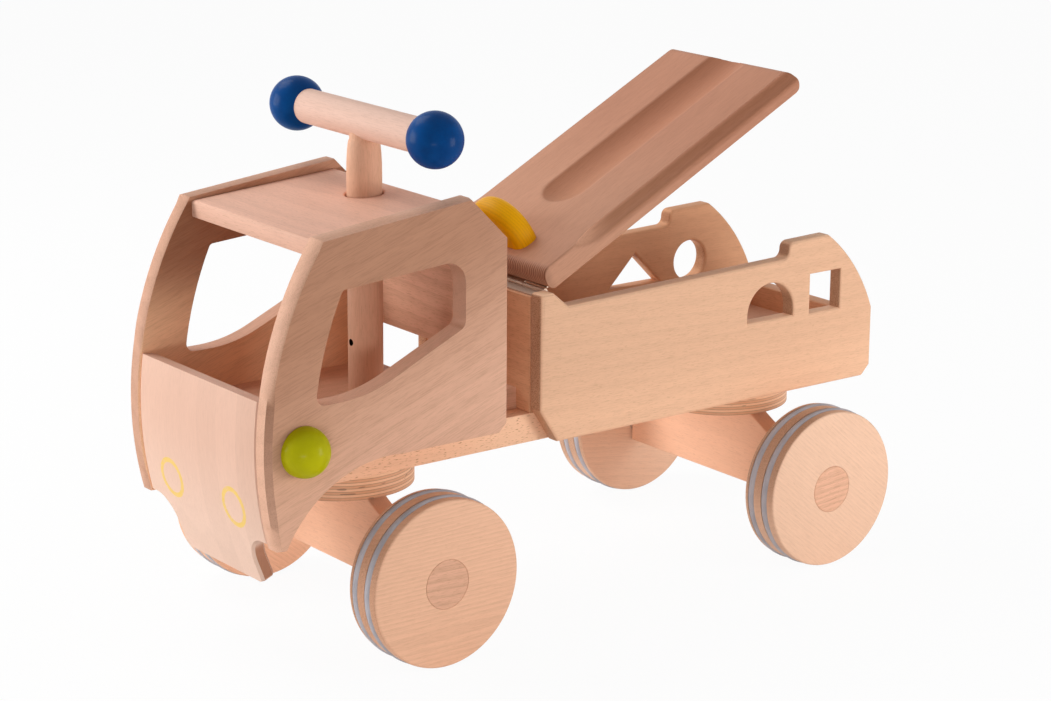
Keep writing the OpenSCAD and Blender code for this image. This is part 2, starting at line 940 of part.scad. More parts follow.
module seat_lid() {
    section = [
        [lid_nose, lid_lift],
        [lid_nose, lid_top],
        [lid_end, lid_top],
        [lid_end, lid_lift]
    ];
    color(beech)
        difference() {
            lid_frame()
                difference() {
                    board_along(-lid_w / 2, lid_w / 2)
                        polygon(rounded(section, [for (i = [0:3]) lid_nose_r], 8));
                    translate([lid_nose - groove_start - groove_w / 2, 0, lid_top - groove_depth + groove_r]) {
                        rotate([0, -90, 0])
                            cylinder(h = lid_l, r = groove_r);
                        sphere(r = groove_r);
                    }
                    both_sides()
                        cove_cut();
                }
            pommel_peg_set(peg_r + glue_gap);
            hinge_screw_moving_set(glue_gap);
        }
}

module pommel() {
    flat = pommel_t / 2 - pommel_edge;
    section = concat(
        [[0, -pommel_t / 2]],
        arc([pommel_r - pommel_edge, -flat], pommel_edge, -90, 0, 6),
        arc([pommel_r - pommel_edge, flat], pommel_edge, 0, 90, 6),
        [[0, pommel_t / 2]]
    );
    color(amber)
        difference() {
            lid_frame()
                translate([lid_nose - pommel_back, 0, lid_top])
                    difference() {
                        rotate([0, 90, 0])
                            rotate_extrude()
                                polygon(section);
                        translate([-pommel_r, -pommel_r, -2 * pommel_r])
                            cube(2 * pommel_r);
                    }
            pommel_peg_set(peg_r + glue_gap);
        }
}

module pommel_pegs() {
    color(beech_dark)
        pommel_peg_set(peg_r);
}

// Steering

module column_pin_set(r) {
    reach = dowel_d / 2 + column_pin_out;
    bar_across(steer_x, floor_z + washer_t + column_pin_lift, r, -reach, reach);
}

module steering_column() {
    neck_z = bar_z - dowel_d / 2;
    drop = (dowel_d - neck_d) / 2;
    shoulder = [for (i = [1:6]) [neck_d / 2 + drop * cos(i * 15), neck_z - neck_l + neck_l * sin(i * 15)]];
    profile = concat(
        [[0, disc_z], [dowel_d / 2, disc_z], [dowel_d / 2, neck_z - neck_l]],
        shoulder,
        [[neck_d / 2, bar_z + neck_in], [0, bar_z + neck_in]]
    );
    color(beech)
        translate([steer_x, 0, 0])
            difference() {
                rotate_extrude()
                    polygon(profile);
                translate([0, 0, skirt_z + pilot_rise])
                    rotate([0, 90, 0])
                        cylinder(h = dowel_d, d = pilot_d);
                translate([-steer_x, 0, 0])
                    column_pin_set(column_pin_r + glue_gap);
            }
}

module handlebar() {
    color(beech)
        difference() {
            bar_across(steer_x, bar_z, dowel_d / 2, -ball_span / 2, ball_span / 2);
            translate([steer_x, 0, bar_z - dowel_d])
                cylinder(h = dowel_d + neck_in + glue_gap, r = neck_d / 2 + glue_gap);
        }
}

module handle_ball() {
    color(blue)
        translate([steer_x, ball_span / 2, bar_z])
            rotate([-90, 0, 0])
                rotate_extrude()
                    difference() {
                        circle(d = ball_d);
                        translate([-ball_d, -ball_d])
                            square([ball_d, 2 * ball_d]);
                        translate([0, -ball_d])
                            square([dowel_d / 2 + glue_gap, ball_d + glue_gap]);
                    }
}

module handle_ball_left() {
    handle_ball();
}

module handle_ball_right() {
    mirror([0, 1, 0])
        handle_ball();
}

module column_washer() {
    color(beech_dark)
        translate([steer_x, 0, floor_z + turn_gap])
            difference() {
                cylinder(h = washer_t, r = dowel_d / 2 + washer_w);
                translate([0, 0, -over])
                    cylinder(h = washer_t + 2 * over, r = dowel_d / 2 + glue_gap);
            }
}

module column_pin() {
    color(steel)
        column_pin_set(column_pin_r);
}

module front_disc() {
    color(ply)
        difference() {
            translate([front_x, 0, disc_z])
                cylinder(h = disc_t - turn_gap, r = disc_r);
            translate([steer_x, 0, disc_z - over])
                cylinder(h = disc_t + 2 * over, r = dowel_d / 2 + glue_gap);
            disc_screw_set(front_x, disc_z + disc_t - turn_gap, glue_gap);
        }
}

module rear_disc() {
    color(ply)
        difference() {
            translate([rear_x, 0, disc_z])
                cylinder(h = disc_t, r = disc_r);
            disc_screw_set(rear_x, disc_z + disc_t, glue_gap);
        }
}

module front_disc_screws() {
    color(steel)
        disc_screw_set(front_x, disc_z + disc_t - turn_gap, 0);
}

module rear_disc_screws() {
    color(steel)
        disc_screw_set(rear_x, disc_z + disc_t, 0);
}

// Running gear

module beam(x, screw_top) {
    color(beech_dark)
        difference() {
            board_across(x - beam_t / 2, x + beam_t / 2)
                polygon([
                    [-beam_y, beam_z],
                    [beam_y, beam_z],
                    [beam_y, beam_z + beam_end_h],
                    [beam_top_w / 2, disc_z],
                    [-beam_top_w / 2, disc_z],
                    [-beam_y, beam_z + beam_end_h]
                ]);
            bar_across(x, axle_z, axle_d / 2 + glue_gap, -beam_y - over, beam_y + over);
            disc_screw_set(x, screw_top, glue_gap);
        }
}

module front_beam() {
    beam(front_x, disc_z + disc_t - turn_gap);
}

module rear_beam() {
    beam(rear_x, disc_z + disc_t);
}

module axle(x) {
    end = wheel_out - hub_depth + cap_gap + cap_in;
    color(steel)
        bar_across(x, axle_z, axle_d / 2, -end, end);
}

module front_axle() {
    axle(front_x);
}

module rear_axle() {
    axle(rear_x);
}

module axle_caps(x) {
    start = wheel_out - hub_depth + cap_gap;
    color(steel)
        both_sides()
            difference() {
                bar_across(x, axle_z, axle_d / 2 + cap_w, start, start + cap_t);
                bar_across(x, axle_z, axle_d / 2 + glue_gap, start - over, start + cap_in + glue_gap);
            }
}

module front_axle_caps() {
    axle_caps(front_x);
}

module rear_axle_caps() {
    axle_caps(rear_x);
}

module axle_washers(x) {
    color(steel)
        both_sides()
            difference() {
                bar_across(x, axle_z, axle_d / 2 + hub_washer_w, beam_y, beam_y + hub_washer_t);
                bar_across(x, axle_z, axle_d / 2 + glue_gap, beam_y - over, beam_y + hub_washer_t + over);
            }
}

module front_washers() {
    axle_washers(front_x);
}

module rear_washers() {
    axle_washers(rear_x);
}

// Wheels, drawn with the inner face at the origin and turned outwards

module wheel_frame(x, side) {
    mirror([0, side < 0 ? 1 : 0, 0])
        translate([x, wheel_y, axle_z])
            rotate([-90, 0, 0])
                children();
}

module ring_sections(r) {
    for (y = [ring_inner, ring_outer])
        translate([wheel_d / 2 + ring_proud - ring_d / 2, y])
            circle(r = r);
}

module wheel(x, side) {
    bore = axle_d / 2 + axle_gap;
    recess = plug_d / 2 + glue_gap;
    floor_y = wheel_t - hub_depth;
    color(beech)
        wheel_frame(x, side)
            rotate_extrude()
                difference() {
                    polygon([
                        [bore, 0],
                        [wheel_d / 2 - rim_bevel, 0],
                        [wheel_d / 2, rim_bevel],
                        [wheel_d / 2, wheel_t - rim_bevel],
                        [wheel_d / 2 - rim_bevel, wheel_t],
                        [recess, wheel_t],
                        [recess, floor_y],
                        [bore, floor_y]
                    ]);
                    ring_sections(ring_d / 2 + glue_gap);
                }
}

module tyres(x, side) {
    color(rubber)
        wheel_frame(x, side)
            rotate_extrude()
                ring_sections(ring_d / 2);
}

module plug(x, side) {
    color(beech_dark)
        wheel_frame(x, side)
            translate([0, 0, wheel_t - plug_t])
                cylinder(h = plug_t, r = plug_d / 2);
}

module wheel_front_left() {
    wheel(front_x, 1);
}

module wheel_front_right() {
    wheel(front_x, -1);
}

module wheel_rear_left() {
    wheel(rear_x, 1);
}

module wheel_rear_right() {
    wheel(rear_x, -1);
}

module tyres_front_left() {
    tyres(front_x, 1);
}

module tyres_front_right() {
    tyres(front_x, -1);
}

module tyres_rear_left() {
    tyres(rear_x, 1);
}

module tyres_rear_right() {
    tyres(rear_x, -1);
}

module plug_front_left() {
    plug(front_x, 1);
}

module plug_front_right() {
    plug(front_x, -1);
}

module plug_rear_left() {
    plug(rear_x, 1);
}

module plug_rear_right() {
    plug(rear_x, -1);
}

chassis_board();
spine_block();
cab_floor();
box_floor();
cab_side_left();
cab_side_right();
cab_roof();
cab_front_panel();
cab_back_board();
cab_dowels();
side_knob_left();
side_knob_right();
box_side_left();
box_side_right();
box_front_wall();
box_rear_wall();
box_dowels();
hinge_leaf_fixed();
hinge_pin();
hinge_screws_fixed();
rear_disc();
rear_disc_screws();
rear_beam();
rear_axle();
rear_axle_caps();
rear_washers();
steering_column();
handlebar();
handle_ball_left();
handle_ball_right();
column_washer();
column_pin();
front_disc();
front_disc_screws();
front_beam();
front_axle();
front_axle_caps();
front_washers();
wheel_front_left();
tyres_front_left();
plug_front_left();
wheel_front_right();
tyres_front_right();
plug_front_right();
wheel_rear_left();
tyres_rear_left();
plug_rear_left();
wheel_rear_right();
tyres_rear_right();
plug_rear_right();
seat_lid();
pommel();
pommel_pegs();
hinge_leaf_moving();
hinge_screws_moving();
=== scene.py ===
import bpy
import numpy as np
from mathutils import Matrix
from mathutils.geometry import tessellate_polygon


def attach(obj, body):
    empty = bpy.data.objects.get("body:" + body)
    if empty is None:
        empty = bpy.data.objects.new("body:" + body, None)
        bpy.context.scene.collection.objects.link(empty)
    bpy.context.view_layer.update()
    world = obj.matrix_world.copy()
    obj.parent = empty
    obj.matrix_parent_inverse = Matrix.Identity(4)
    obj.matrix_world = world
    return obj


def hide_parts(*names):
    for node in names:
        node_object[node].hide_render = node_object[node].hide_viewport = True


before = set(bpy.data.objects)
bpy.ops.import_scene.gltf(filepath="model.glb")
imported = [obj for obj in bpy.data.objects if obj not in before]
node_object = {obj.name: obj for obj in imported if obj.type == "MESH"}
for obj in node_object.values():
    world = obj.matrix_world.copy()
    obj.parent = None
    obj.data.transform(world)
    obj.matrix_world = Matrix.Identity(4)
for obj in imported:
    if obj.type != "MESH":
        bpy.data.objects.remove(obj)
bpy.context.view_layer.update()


# Studio: a long lens ahead of the truck and on its left, looking down a little, a pale floor
# that keeps a faint shadow, a white surround and four soft lamps, named as the camera sees them.

MM = 0.001
PHOTO_WIDTH, FOCAL_PX, SENSOR = 1051, 2843.25, 36.0
CAMERA_ROLL = np.radians(0.398)
camera_place = np.array([1400.1, 1835.7, 821.2]) * MM
camera_look = np.array([-0.58573, -0.76700, -0.26196])


def camera_matrix(place, look, roll):
    """Right, up and backward axes of a camera that looks along a direction, rolled about it."""
    ahead = look / np.linalg.norm(look)
    level = np.cross(ahead, [0, 0, 1])
    level /= np.linalg.norm(level)
    upright = np.cross(level, ahead)
    right = level * np.cos(roll) + upright * np.sin(roll)
    up = upright * np.cos(roll) - level * np.sin(roll)
    m = np.eye(4)
    m[:3, :4] = np.stack([right, up, -ahead, place], 1)
    return Matrix(m.tolist())


scene = bpy.context.scene
camera_data = bpy.data.cameras.new("photo_camera")
camera_data.sensor_fit = "HORIZONTAL"
camera_data.sensor_width = SENSOR
camera_data.lens = FOCAL_PX / PHOTO_WIDTH * SENSOR
camera_data.clip_end = 50
camera = bpy.data.objects.new("photo_camera", camera_data)
camera.matrix_world = camera_matrix(camera_place, camera_look, CAMERA_ROLL)
scene.collection.objects.link(camera)
scene.camera = camera
scene.view_settings.view_transform = "Standard"


def fill(node, inputs):
    """Gives each named socket of a node a wire or a plain value."""
    for key, value in inputs.items():
        if isinstance(value, Wire):
            value.tree.links.new(value.socket, node.inputs[key])
        else:
            node.inputs[key].default_value = value


class Wire:
    """A shader socket. Arithmetic on it adds Math nodes, and node() adds any other node."""

    def __init__(self, tree, socket):
        self.tree = tree
        self.socket = socket

    def node(self, kind, settings=None, inputs=None, out=0):
        made = self.tree.nodes.new(kind)
        for key, value in (settings or {}).items():
            setattr(made, key, value)
        fill(made, inputs or {})
        return Wire(self.tree, made.outputs[out])

    def math(self, operation, *others):
        return self.node("ShaderNodeMath", {"operation": operation}, dict(enumerate((self, *others))))

    def __add__(self, other):
        return self.math("ADD", other)

    def __mul__(self, other):
        return self.math("MULTIPLY", other)

    def __sub__(self, other):
        return self.math("SUBTRACT", other)

    def __rsub__(self, other):
        return self.node("ShaderNodeMath", {"operation": "SUBTRACT"}, {0: other, 1: self})

    def __truediv__(self, other):
        return self.math("DIVIDE", other)

    def __pow__(self, other):
        return self.math("POWER", other)

    __radd__ = __add__
    __rmul__ = __mul__

    def clamp(self):
        return self.node("ShaderNodeClamp", None, {"Value": self})

    def times(self, vector):
        return self.node("ShaderNodeVectorMath", {"operation": "MULTIPLY"}, {0: self, 1: vector})

    def mapped(self, turn, place=(0, 0, 0)):
        places = {"Vector": self, "Rotation": turn, "Location": place}
        return self.node("ShaderNodeMapping", {"vector_type": "POINT"}, places)

    def axis(self, name):
        return self.node("ShaderNodeSeparateXYZ", None, {"Vector": self}, name)

    def noise(self, scale, detail=2.0, roughness=0.5):
        """Noise of one scale, or drawn out by a scale for each axis."""
        place, scale = (self.times(scale), 1.0) if isinstance(scale, tuple) else (self, scale)
        values = {"Vector": place, "Scale": scale, "Detail": detail, "Roughness": roughness}
        return self.node("ShaderNodeTexNoise", None, values)

    def step(self, low, high):
        """A smooth change from 0 at the low value to 1 at the high one."""
        limits = {"Value": self, "From Min": low, "From Max": high}
        return self.node("ShaderNodeMapRange", {"interpolation_type": "SMOOTHSTEP"}, limits)

    def blend(self, first, second):
        return self.node("ShaderNodeMix", {"data_type": "RGBA"}, {0: self, 6: first, 7: second}, 2)

    def bump(self, strength, depth):
        return self.node("ShaderNodeBump", None, {"Strength": strength, "Distance": depth, "Height": self})


def seen_directly(tree):
    """1 for camera, mirror and glass rays, 0 for the rays that light things."""
    path = tree.nodes.new("ShaderNodeLightPath")
    names = ("Is Camera Ray", "Is Glossy Ray", "Is Transmission Ray")
    rays = [Wire(tree, path.outputs[name]) for name in names]
    return (rays[0] + rays[1] + rays[2]).clamp()


FLOOR_HALF = 6.0
WHITE_SHARE, SURROUND_LIGHT = 0.95, 0.30
WHITE = (1, 1, 1, 1)
floor_corners = FLOOR_HALF * np.array([[-1, -1, 0], [1, -1, 0], [1, 1, 0], [-1, 1, 0]])
floor_mesh = bpy.data.meshes.new("studio_floor")
floor_mesh.from_pydata(floor_corners.tolist(), [], [(0, 1, 2, 3)])
studio_floor = bpy.data.objects.new("studio_floor", floor_mesh)
scene.collection.objects.link(studio_floor)
floor_paint = bpy.data.materials.new("studio_white")
floor_paint.use_nodes = True
floor_tree = floor_paint.node_tree
floor_shader = floor_tree.nodes["Principled BSDF"]
fill(floor_shader, {"Base Color": (0.96, 0.96, 0.96, 1), "Roughness": 0.9, "Specular IOR Level": 0.1})
seen = seen_directly(floor_tree)
white_glow = seen.node("ShaderNodeEmission", None, {"Color": WHITE, "Strength": 1.0})
painted = Wire(floor_tree, floor_shader.outputs[0])
floor_mix = seen.node("ShaderNodeMixShader", None, {0: seen * WHITE_SHARE, 1: painted, 2: white_glow})
fill(floor_tree.nodes["Material Output"], {"Surface": floor_mix})
floor_mesh.materials.append(floor_paint)

world = bpy.data.worlds.new("white_surround")
scene.world = world
world.use_nodes = True
surround = seen_directly(world.node_tree) * (1 - SURROUND_LIGHT) + SURROUND_LIGHT
fill(world.node_tree.nodes["Background"], {"Color": WHITE, "Strength": surround})


def soft_lamp(name, place, aim, size, power, spread=180):
    """An area lamp, wide and high as given, that looks from one point to another; a grid narrows it."""
    data = bpy.data.lights.new(name, "AREA")
    data.shape = "RECTANGLE"
    data.size, data.size_y = size
    data.energy = power
    data.spread = np.radians(spread)
    lamp = bpy.data.objects.new(name, data)
    lamp.matrix_world = camera_matrix(np.array(place), np.array(aim) - np.array(place), 0)
    scene.collection.objects.link(lamp)


soft_lamp("left_softbox", (1.6, -1.35, 0.6), (0.1, 0.0, 0.2), (1.2, 1.0), 23.5)
soft_lamp("right_softbox", (-0.65, 1.15, 0.3), (-0.1, 0.0, 0.17), (0.5, 0.6), 7.2)
soft_lamp("high_softbox", (0.5, -1.3, 1.8), (0.1, 0.0, 0.3), (1.2, 1.2), 18)
soft_lamp("low_strip", (1.45, 1.85, 0.12), (-0.05, 0.0, 0.05), (1.6, 0.2), 0.6, 30)


# Chassis, floors and the joining block: plain planed beech boards with lengthwise grain and
# the short dark flecks that beech shows; glued and dowelled flat on each other.

FLECK_SHARE = (0.60, 0.46, 0.36)
CUT_SHARE = (0.46, 0.35, 0.28)


def rgb(red, green, blue):
    """A colour given in screen values of 0 to 255, as the linear values that sockets take."""
    c = np.array([red, green, blue]) / 255
    linear = np.where(c <= 0.04045, c / 12.92, ((c + 0.055) / 1.055) ** 2.4)
    return (*linear.tolist(), 1.0)


def scaled(colour, *share):
    """A colour with its three values multiplied by one share or by three."""
    return (*(np.array(colour[:3]) * share).tolist(), 1.0)


def new_finish(name):
    """A new material, its shader node and a wire with the piece's own coordinates."""
    material = bpy.data.materials.new(name)
    material.use_nodes = True
    tree = material.node_tree
    coordinates = tree.nodes.new("ShaderNodeTexCoord")
    return material, tree.nodes["Principled BSDF"], Wire(tree, coordinates.outputs["Object"])


def normal_of(place):
    """The surface's normal in the piece's own axes."""
    return Wire(place.tree, place.socket.node.outputs["Normal"])


def beech(
    name, shade, spread=0.14, turn=(0, 0, 0), start=(0, 0, 0), pith=(0.05, -0.16), ring=0.011, rings=0.18,
    streaks=0.4, flecks=0.3, ends=0.35, staves=0.0, rough=0.5, mark=None, cast=None,
):
    """Oiled beech. turn and start bring the grain to X. The share of the dark shade is the sum of rings = a
    wave of the distance to the pith line, of streaks and fibres = noise drawn out along the grain, of slow
    changes of tone and of a level for each glued stave. cast tints the piece place by place; then come short
    dark flecks, faces that cut the grain, darker and with open pores, and mark, a painted mask."""
    material, shader, place = new_finish(name)
    light, dark = scaled(shade, 1 + spread), scaled(shade, 1 - spread, 1 - 1.25 * spread, 1 - 1.45 * spread)
    grain = place.mapped(turn, start)
    bend = grain.noise((2.2, 9, 9))
    across = (grain.axis("Y") - pith[0]) ** 2.0 + (grain.axis("Z") - pith[1]) ** 2.0
    wave = ((across**0.5) / ring + bend * 4.0).math("FRACT")
    late = wave.step(0.2, 0.9) * (1 - wave.step(0.92, 1.0))
    streak = grain.noise((75, 1250, 1250)).step(0.44, 0.68)
    fibre = grain.noise((16, 330, 330), 3, 0.6).step(0.3, 0.75)
    fine = grain.noise((70, 1700, 1700))
    slow = grain.noise((1.8, 10, 10)).step(0.3, 0.7)
    fleck = grain.noise((190, 1500, 1500), 1).step(0.60, 0.70)
    share = late * rings + streak * streaks + fibre * 0.15 + slow * 0.2
    if staves:
        board = (place.axis("Y") / staves).math("FLOOR")
        share = share + board.node("ShaderNodeTexWhiteNoise", {"noise_dimensions": "1D"}, {"W": board}) * 0.5
    colour = share.clamp().blend(light, dark)
    # on most pieces cast lays painted light and shade into the colour
    if cast is not None:
        colour = colour.times(cast(place))
    colour = (fleck * flecks).blend(colour, scaled(dark, *FLECK_SHARE))
    cut = normal_of(place).mapped(turn).axis("X").math("ABSOLUTE").step(0.6, 0.97)
    pores = grain.noise((300, 1500, 1500)).step(0.4, 0.7)
    colour = (cut * (pores * 0.5 + 0.5) * ends).blend(colour, scaled(dark, *CUT_SHARE))
    if mark is not None:
        mask, paint = mark(place)
        colour = mask.blend(colour, paint)
    relief = (fine * 0.5 - streak * 0.3 - fleck * 0.5).bump(0.09, 0.0005)
    fill(shader, {"Base Color": colour, "Roughness": fine * 0.16 + (rough - 0.08), "Normal": relief})
    fill(shader, {"Specular IOR Level": 0.1})
    return material


def set_finish(piece, material):
    """Puts one material on all of a piece."""
    piece.data.materials.clear()
    piece.data.materials.append(material)


chassis_beech = beech("beech_chassis", rgb(238, 191, 157), pith=(0.3, 0.2), flecks=0.8, streaks=0.2)
floor_beech = beech("beech_floor", rgb(214, 166, 138), pith=(0.05, 0.25), ring=0.013)
set_finish(node_object["chassis_board"], chassis_beech)
for name in ("spine_block", "cab_floor", "box_floor"):
    set_finish(node_object[name], floor_beech)


# Cab sides: two beech boards with diagonal grain, one curved front edge from roof to tip, a cut-out
# over the front wheel and a window, their edges eased with a router; glued to floor and roof.

CAB_IN, CAB_OUT = 87.4, 104.4
CAB_REAR, SKIRT, PEAK, TIP = 95.5, 165.0, 359.6, 107.0
REAR_CUT, SKIRT_CUT = 35.0, 8.0
SIDE_TILT, ROOF_TILT = np.tan(np.radians([6.14, 4.23]))
ROOF_DROP = 7.6
CROWN, FRONT_R = np.array([35.5, 181.0]), 285.0
ARCH, ARCH_R = np.array([208.6, 59.6]), 106.0
ARCH_STEPS, FRONT_STEPS, BEND_STEPS = 20, 32, 8


def arc(centre, radius, first, last, steps):
    """Points of an arc: centre plus radius times (cos, sin) from one angle to another, in degrees."""
    angle = np.radians(np.linspace(first, last, steps + 1))
    return np.array(centre) + radius * np.stack([np.cos(angle), np.sin(angle)], 1)


def joined(*parts):
    """Rows of numbers or points, one part after another."""
    return np.concatenate(parts)


def side_line(x):
    """Height of the sides' upper edge."""
    return PEAK - SIDE_TILT * (x - CAB_REAR - REAR_CUT)


def roof_line(x):
    """Height of the roof's top."""
    return PEAK - ROOF_DROP - ROOF_TILT * (x - CAB_REAR - REAR_CUT)


def angle_at_height(height, centre, radius):
    """Degrees at which a round about a centre reaches a height, on its front side."""
    return np.degrees(np.arcsin((height - centre[1]) / radius))


def angle_at_line(centre, height, tilt):
    """Degrees at which the front arc about a centre meets the line z = height - tilt * x."""
    b = centre[0] + tilt * (height - centre[1])
    c = centre[0] ** 2 + (height - centre[1]) ** 2 - FRONT_R**2
    k = 1 + tilt**2
    x = (b + np.sqrt(b * b - k * c)) / k
    return np.degrees(np.arccos((x - centre[0]) / FRONT_R))


arch_ends = 180 - angle_at_height(SKIRT, ARCH, ARCH_R), angle_at_height(TIP, ARCH, ARCH_R)
front_ends = angle_at_height(TIP, CROWN, FRONT_R), angle_at_line(CROWN, side_line(0), SIDE_TILT)
cab_outline = joined(
    [[CAB_REAR + SKIRT_CUT, SKIRT]],
    arc(ARCH, ARCH_R, *arch_ends, ARCH_STEPS),
    arc(CROWN, FRONT_R, *front_ends, FRONT_STEPS),
    [[CAB_REAR + REAR_CUT, PEAK], [CAB_REAR, PEAK - REAR_CUT], [CAB_REAR, SKIRT + SKIRT_CUT]],
)


def shorter_way(first, last):
    """Where a turn from one angle to another ends, in degrees, if it goes the shorter way round."""
    return first + (last - first + 540) % 360 - 180


def round_corner(before, at, after, radius, steps=6):
    """The arc of a given radius that touches both sides of a corner."""
    before, at, after = (np.asarray(p, float) for p in (before, at, after))
    u = (before - at) / np.linalg.norm(before - at)
    v = (after - at) / np.linalg.norm(after - at)
    half = np.arccos(np.clip(u @ v, -1, 1)) / 2
    centre = at + (u + v) / np.linalg.norm(u + v) * radius / np.sin(half)
    ends = np.stack([at + u * radius / np.tan(half), at + v * radius / np.tan(half)]) - centre
    first, last = np.degrees(np.arctan2(ends[:, 1], ends[:, 0]))
    return arc(centre, radius, first, shorter_way(first, last), steps)


def rounded(points, radii):
    """An outline whose corners with a radius are rounded."""
    n = len(points)
    rows = [
        round_corner(points[i - 1], points[i], points[(i + 1) % n], r) if r else np.array([points[i]], float)
        for i, r in enumerate(radii)
    ]
    return np.concatenate(rows)


WINDOW_REAR, WINDOW_SILL = CAB_REAR + 41.5, SKIRT + 52.5
WINDOW_RAIL, WINDOW_HEAD = 42.0, 39.4
SILL_SLOPE, SILL_R, SILL_RUN = 24.1, 120.0, 118.0
REAR_ROUNDS, SILL_ROUND, HEAD_ROUND = [17, 8], [7], [4]
window_top = roof_line(0) - WINDOW_HEAD
window_centre = CROWN - [WINDOW_RAIL, 0]
window_ends = (
    angle_at_height(WINDOW_SILL, window_centre, FRONT_R),
    angle_at_line(window_centre, window_top, ROOF_TILT),
)
sill_bend = arc((WINDOW_REAR + SILL_RUN, WINDOW_SILL + SILL_R), SILL_R, 270 - SILL_SLOPE, 270, BEND_STEPS)
sill_rear = sill_bend[0, 1] + (sill_bend[0, 0] - WINDOW_REAR) * np.tan(np.radians(SILL_SLOPE))
window_points = joined(
    [[WINDOW_REAR, window_top - ROOF_TILT * WINDOW_REAR], [WINDOW_REAR, sill_rear]],
    sill_bend,
    arc(window_centre, FRONT_R, *window_ends, BEND_STEPS),
)
window_radii = REAR_ROUNDS + [0] * (BEND_STEPS + 1) + SILL_ROUND + [0] * (BEND_STEPS - 1) + HEAD_ROUND
cab_window = rounded(window_points, window_radii)


def inset(loop, depth):
    """A closed outline moved to its left by a depth, one for all or one for each point, mitred: points go
    along (n1 + n2) / (1 + n1.n2), n1 and n2 being the left normals of the edges before and after."""
    edge = np.roll(loop, -1, 0) - loop
    edge = edge / np.linalg.norm(edge, axis=1)[:, None]
    after = np.stack([-edge[:, 1], edge[:, 0]], 1)
    before = np.roll(after, 1, 0)
    mitre = (before + after) / (1 + (before * after).sum(1))[:, None]
    return loop + np.reshape(depth, (-1, 1)) * mitre


def net_faces(rows, n, looped=False):
    """Quads of a net: each row of n points, closed on itself, joins the next one, and if looped the last
    row joins the first."""
    i = np.arange(rows if looped else rows - 1)[:, None]
    j = np.arange(n)[None]
    i2, j2 = (i + 1) % rows, (j + 1) % n
    return np.stack([i * n + j, i * n + j2, i2 * n + j2, i2 * n + j], 2).reshape(-1, 4)


BORDER = 0.8


def board_mesh(loops, low, high, edges, place, steps=4, ease=(1.0, 1.0, 1.0)):
    """A board with rounded edges: a quarter circle, the straight edge and a quarter circle, carried
    round the outline and round each hole, with a narrow flat border and flat faces inside it. edges are
    the radii at the low and the high face, bevels if there is one step; ease narrows them loop by loop."""
    angle = np.linspace(0, np.pi / 2, steps + 1)
    fall, rise = 1 - np.sin(angle), 1 - np.cos(angle)
    a, b = edges
    inward = joined([a + BORDER], a * fall, b * fall[::-1], [b + BORDER])
    level = joined([low], low + a * rise, high - b * rise[::-1], [high])
    points, quads, front, back = [], [], [], []
    base = 0
    for loop, narrow in zip(loops, ease):
        loop = np.asarray(loop, float)
        narrow = np.broadcast_to(narrow, len(loop))
        x, y = loop.T
        counterclockwise = (x * np.roll(y, -1) - np.roll(x, -1) * y).sum() > 0
        if counterclockwise != (base == 0):
            loop, narrow = loop[::-1], narrow[::-1]
        n, k = len(loop), len(level)
        rings = np.stack([inset(loop, d * narrow) for d in inward])
        depth = np.repeat(level[:, None], n, 1)
        points.append(np.concatenate([rings, depth[..., None]], 2).reshape(-1, 3))
        quads.append(base + net_faces(k, n))
        front.append(base + np.arange(n))
        back.append(base + (k - 1) * n + np.arange(n))
        base += n * k
    flat = np.concatenate(points)
    cap = np.array(tessellate_polygon([[(*flat[i, :2], 0.0) for i in f.tolist()] for f in front]))
    front, back = np.concatenate(front), np.concatenate(back)
    u, v = (flat[front[cap[:, k]], :2] - flat[front[cap[:, 0]], :2] for k in (1, 2))
    clockwise = u[:, 0] * v[:, 1] < u[:, 1] * v[:, 0]
    cap = np.where(clockwise[:, None], cap[:, ::-1], cap)
    return place(*flat.T), [np.concatenate(quads), front[cap][:, ::-1], back[cap]]


def standing_along(u, v, depth):
    """Outline in X and Z, thickness along Y."""
    return np.stack([u, depth, v], 1) * MM


SHARP_EDGE = np.radians(35)


def add_piece(name, points, faces, material, body, node):
    """A closed mesh as a piece of the truck: faces turned outwards by the sign of the enclosed
    volume, soft shading broken at sharp edges, riding on a body in place of a CAD node."""
    triangles = np.concatenate([f[:, [0, k, k + 1]] for f in faces for k in range(1, f.shape[1] - 1)])
    a, b, c = (points[triangles[:, k]] for k in range(3))
    if np.einsum("ij,ij->i", a, np.cross(b, c)).sum() < 0:
        faces = [f[:, ::-1] for f in faces]
    mesh = bpy.data.meshes.new(name)
    mesh.from_pydata(points.tolist(), [], [face for f in faces for face in f.tolist()])
    mesh.update()
    mesh.shade_smooth()
    mesh.set_sharp_from_angle(angle=SHARP_EDGE)
    piece = bpy.data.objects.new(name, mesh)
    scene.collection.objects.link(piece)
    set_finish(piece, material)
    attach(piece, body)
    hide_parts(node)


CAB_EDGE_OUT, CAB_EDGE_IN = 4.6, 1.2
PLAIN_EASE, WINDOW_EASE = 0.25, 0.12
eased_heights = [TIP, TIP + 30, SKIRT + 55, SKIRT + 75]
front_edge = slice(ARCH_STEPS + 2, ARCH_STEPS + 2 + FRONT_STEPS)
cab_ease = np.full(len(cab_outline), PLAIN_EASE)
cab_ease[front_edge] = np.interp(cab_outline[front_edge, 1], eased_heights, [0.5, 1.0, 1.0, 0.5])

# Tints for the painted light and shade on the cab sides.
CAB_PAINTED_LIGHT, CAB_PAINTED_SHADE = (1.05, 1.06, 1.08, 1), (0.70, 0.61, 0.54, 1)
CAB_SAWN, CAB_BEVEL_SHADE = (0.68, 0.62, 0.60, 1), (0.86, 0.84, 0.84, 1)
FAR_PAINTED_LIGHT, FAR_PAINTED_SHADE = (1.22, 1.26, 1.12, 1), (0.50, 0.38, 0.30, 1)
FAR_ABOVE_ROOF_SHADE, FAR_EDGE = (0.84, 0.76, 0.70, 1), (0.88, 0.85, 0.85, 1)


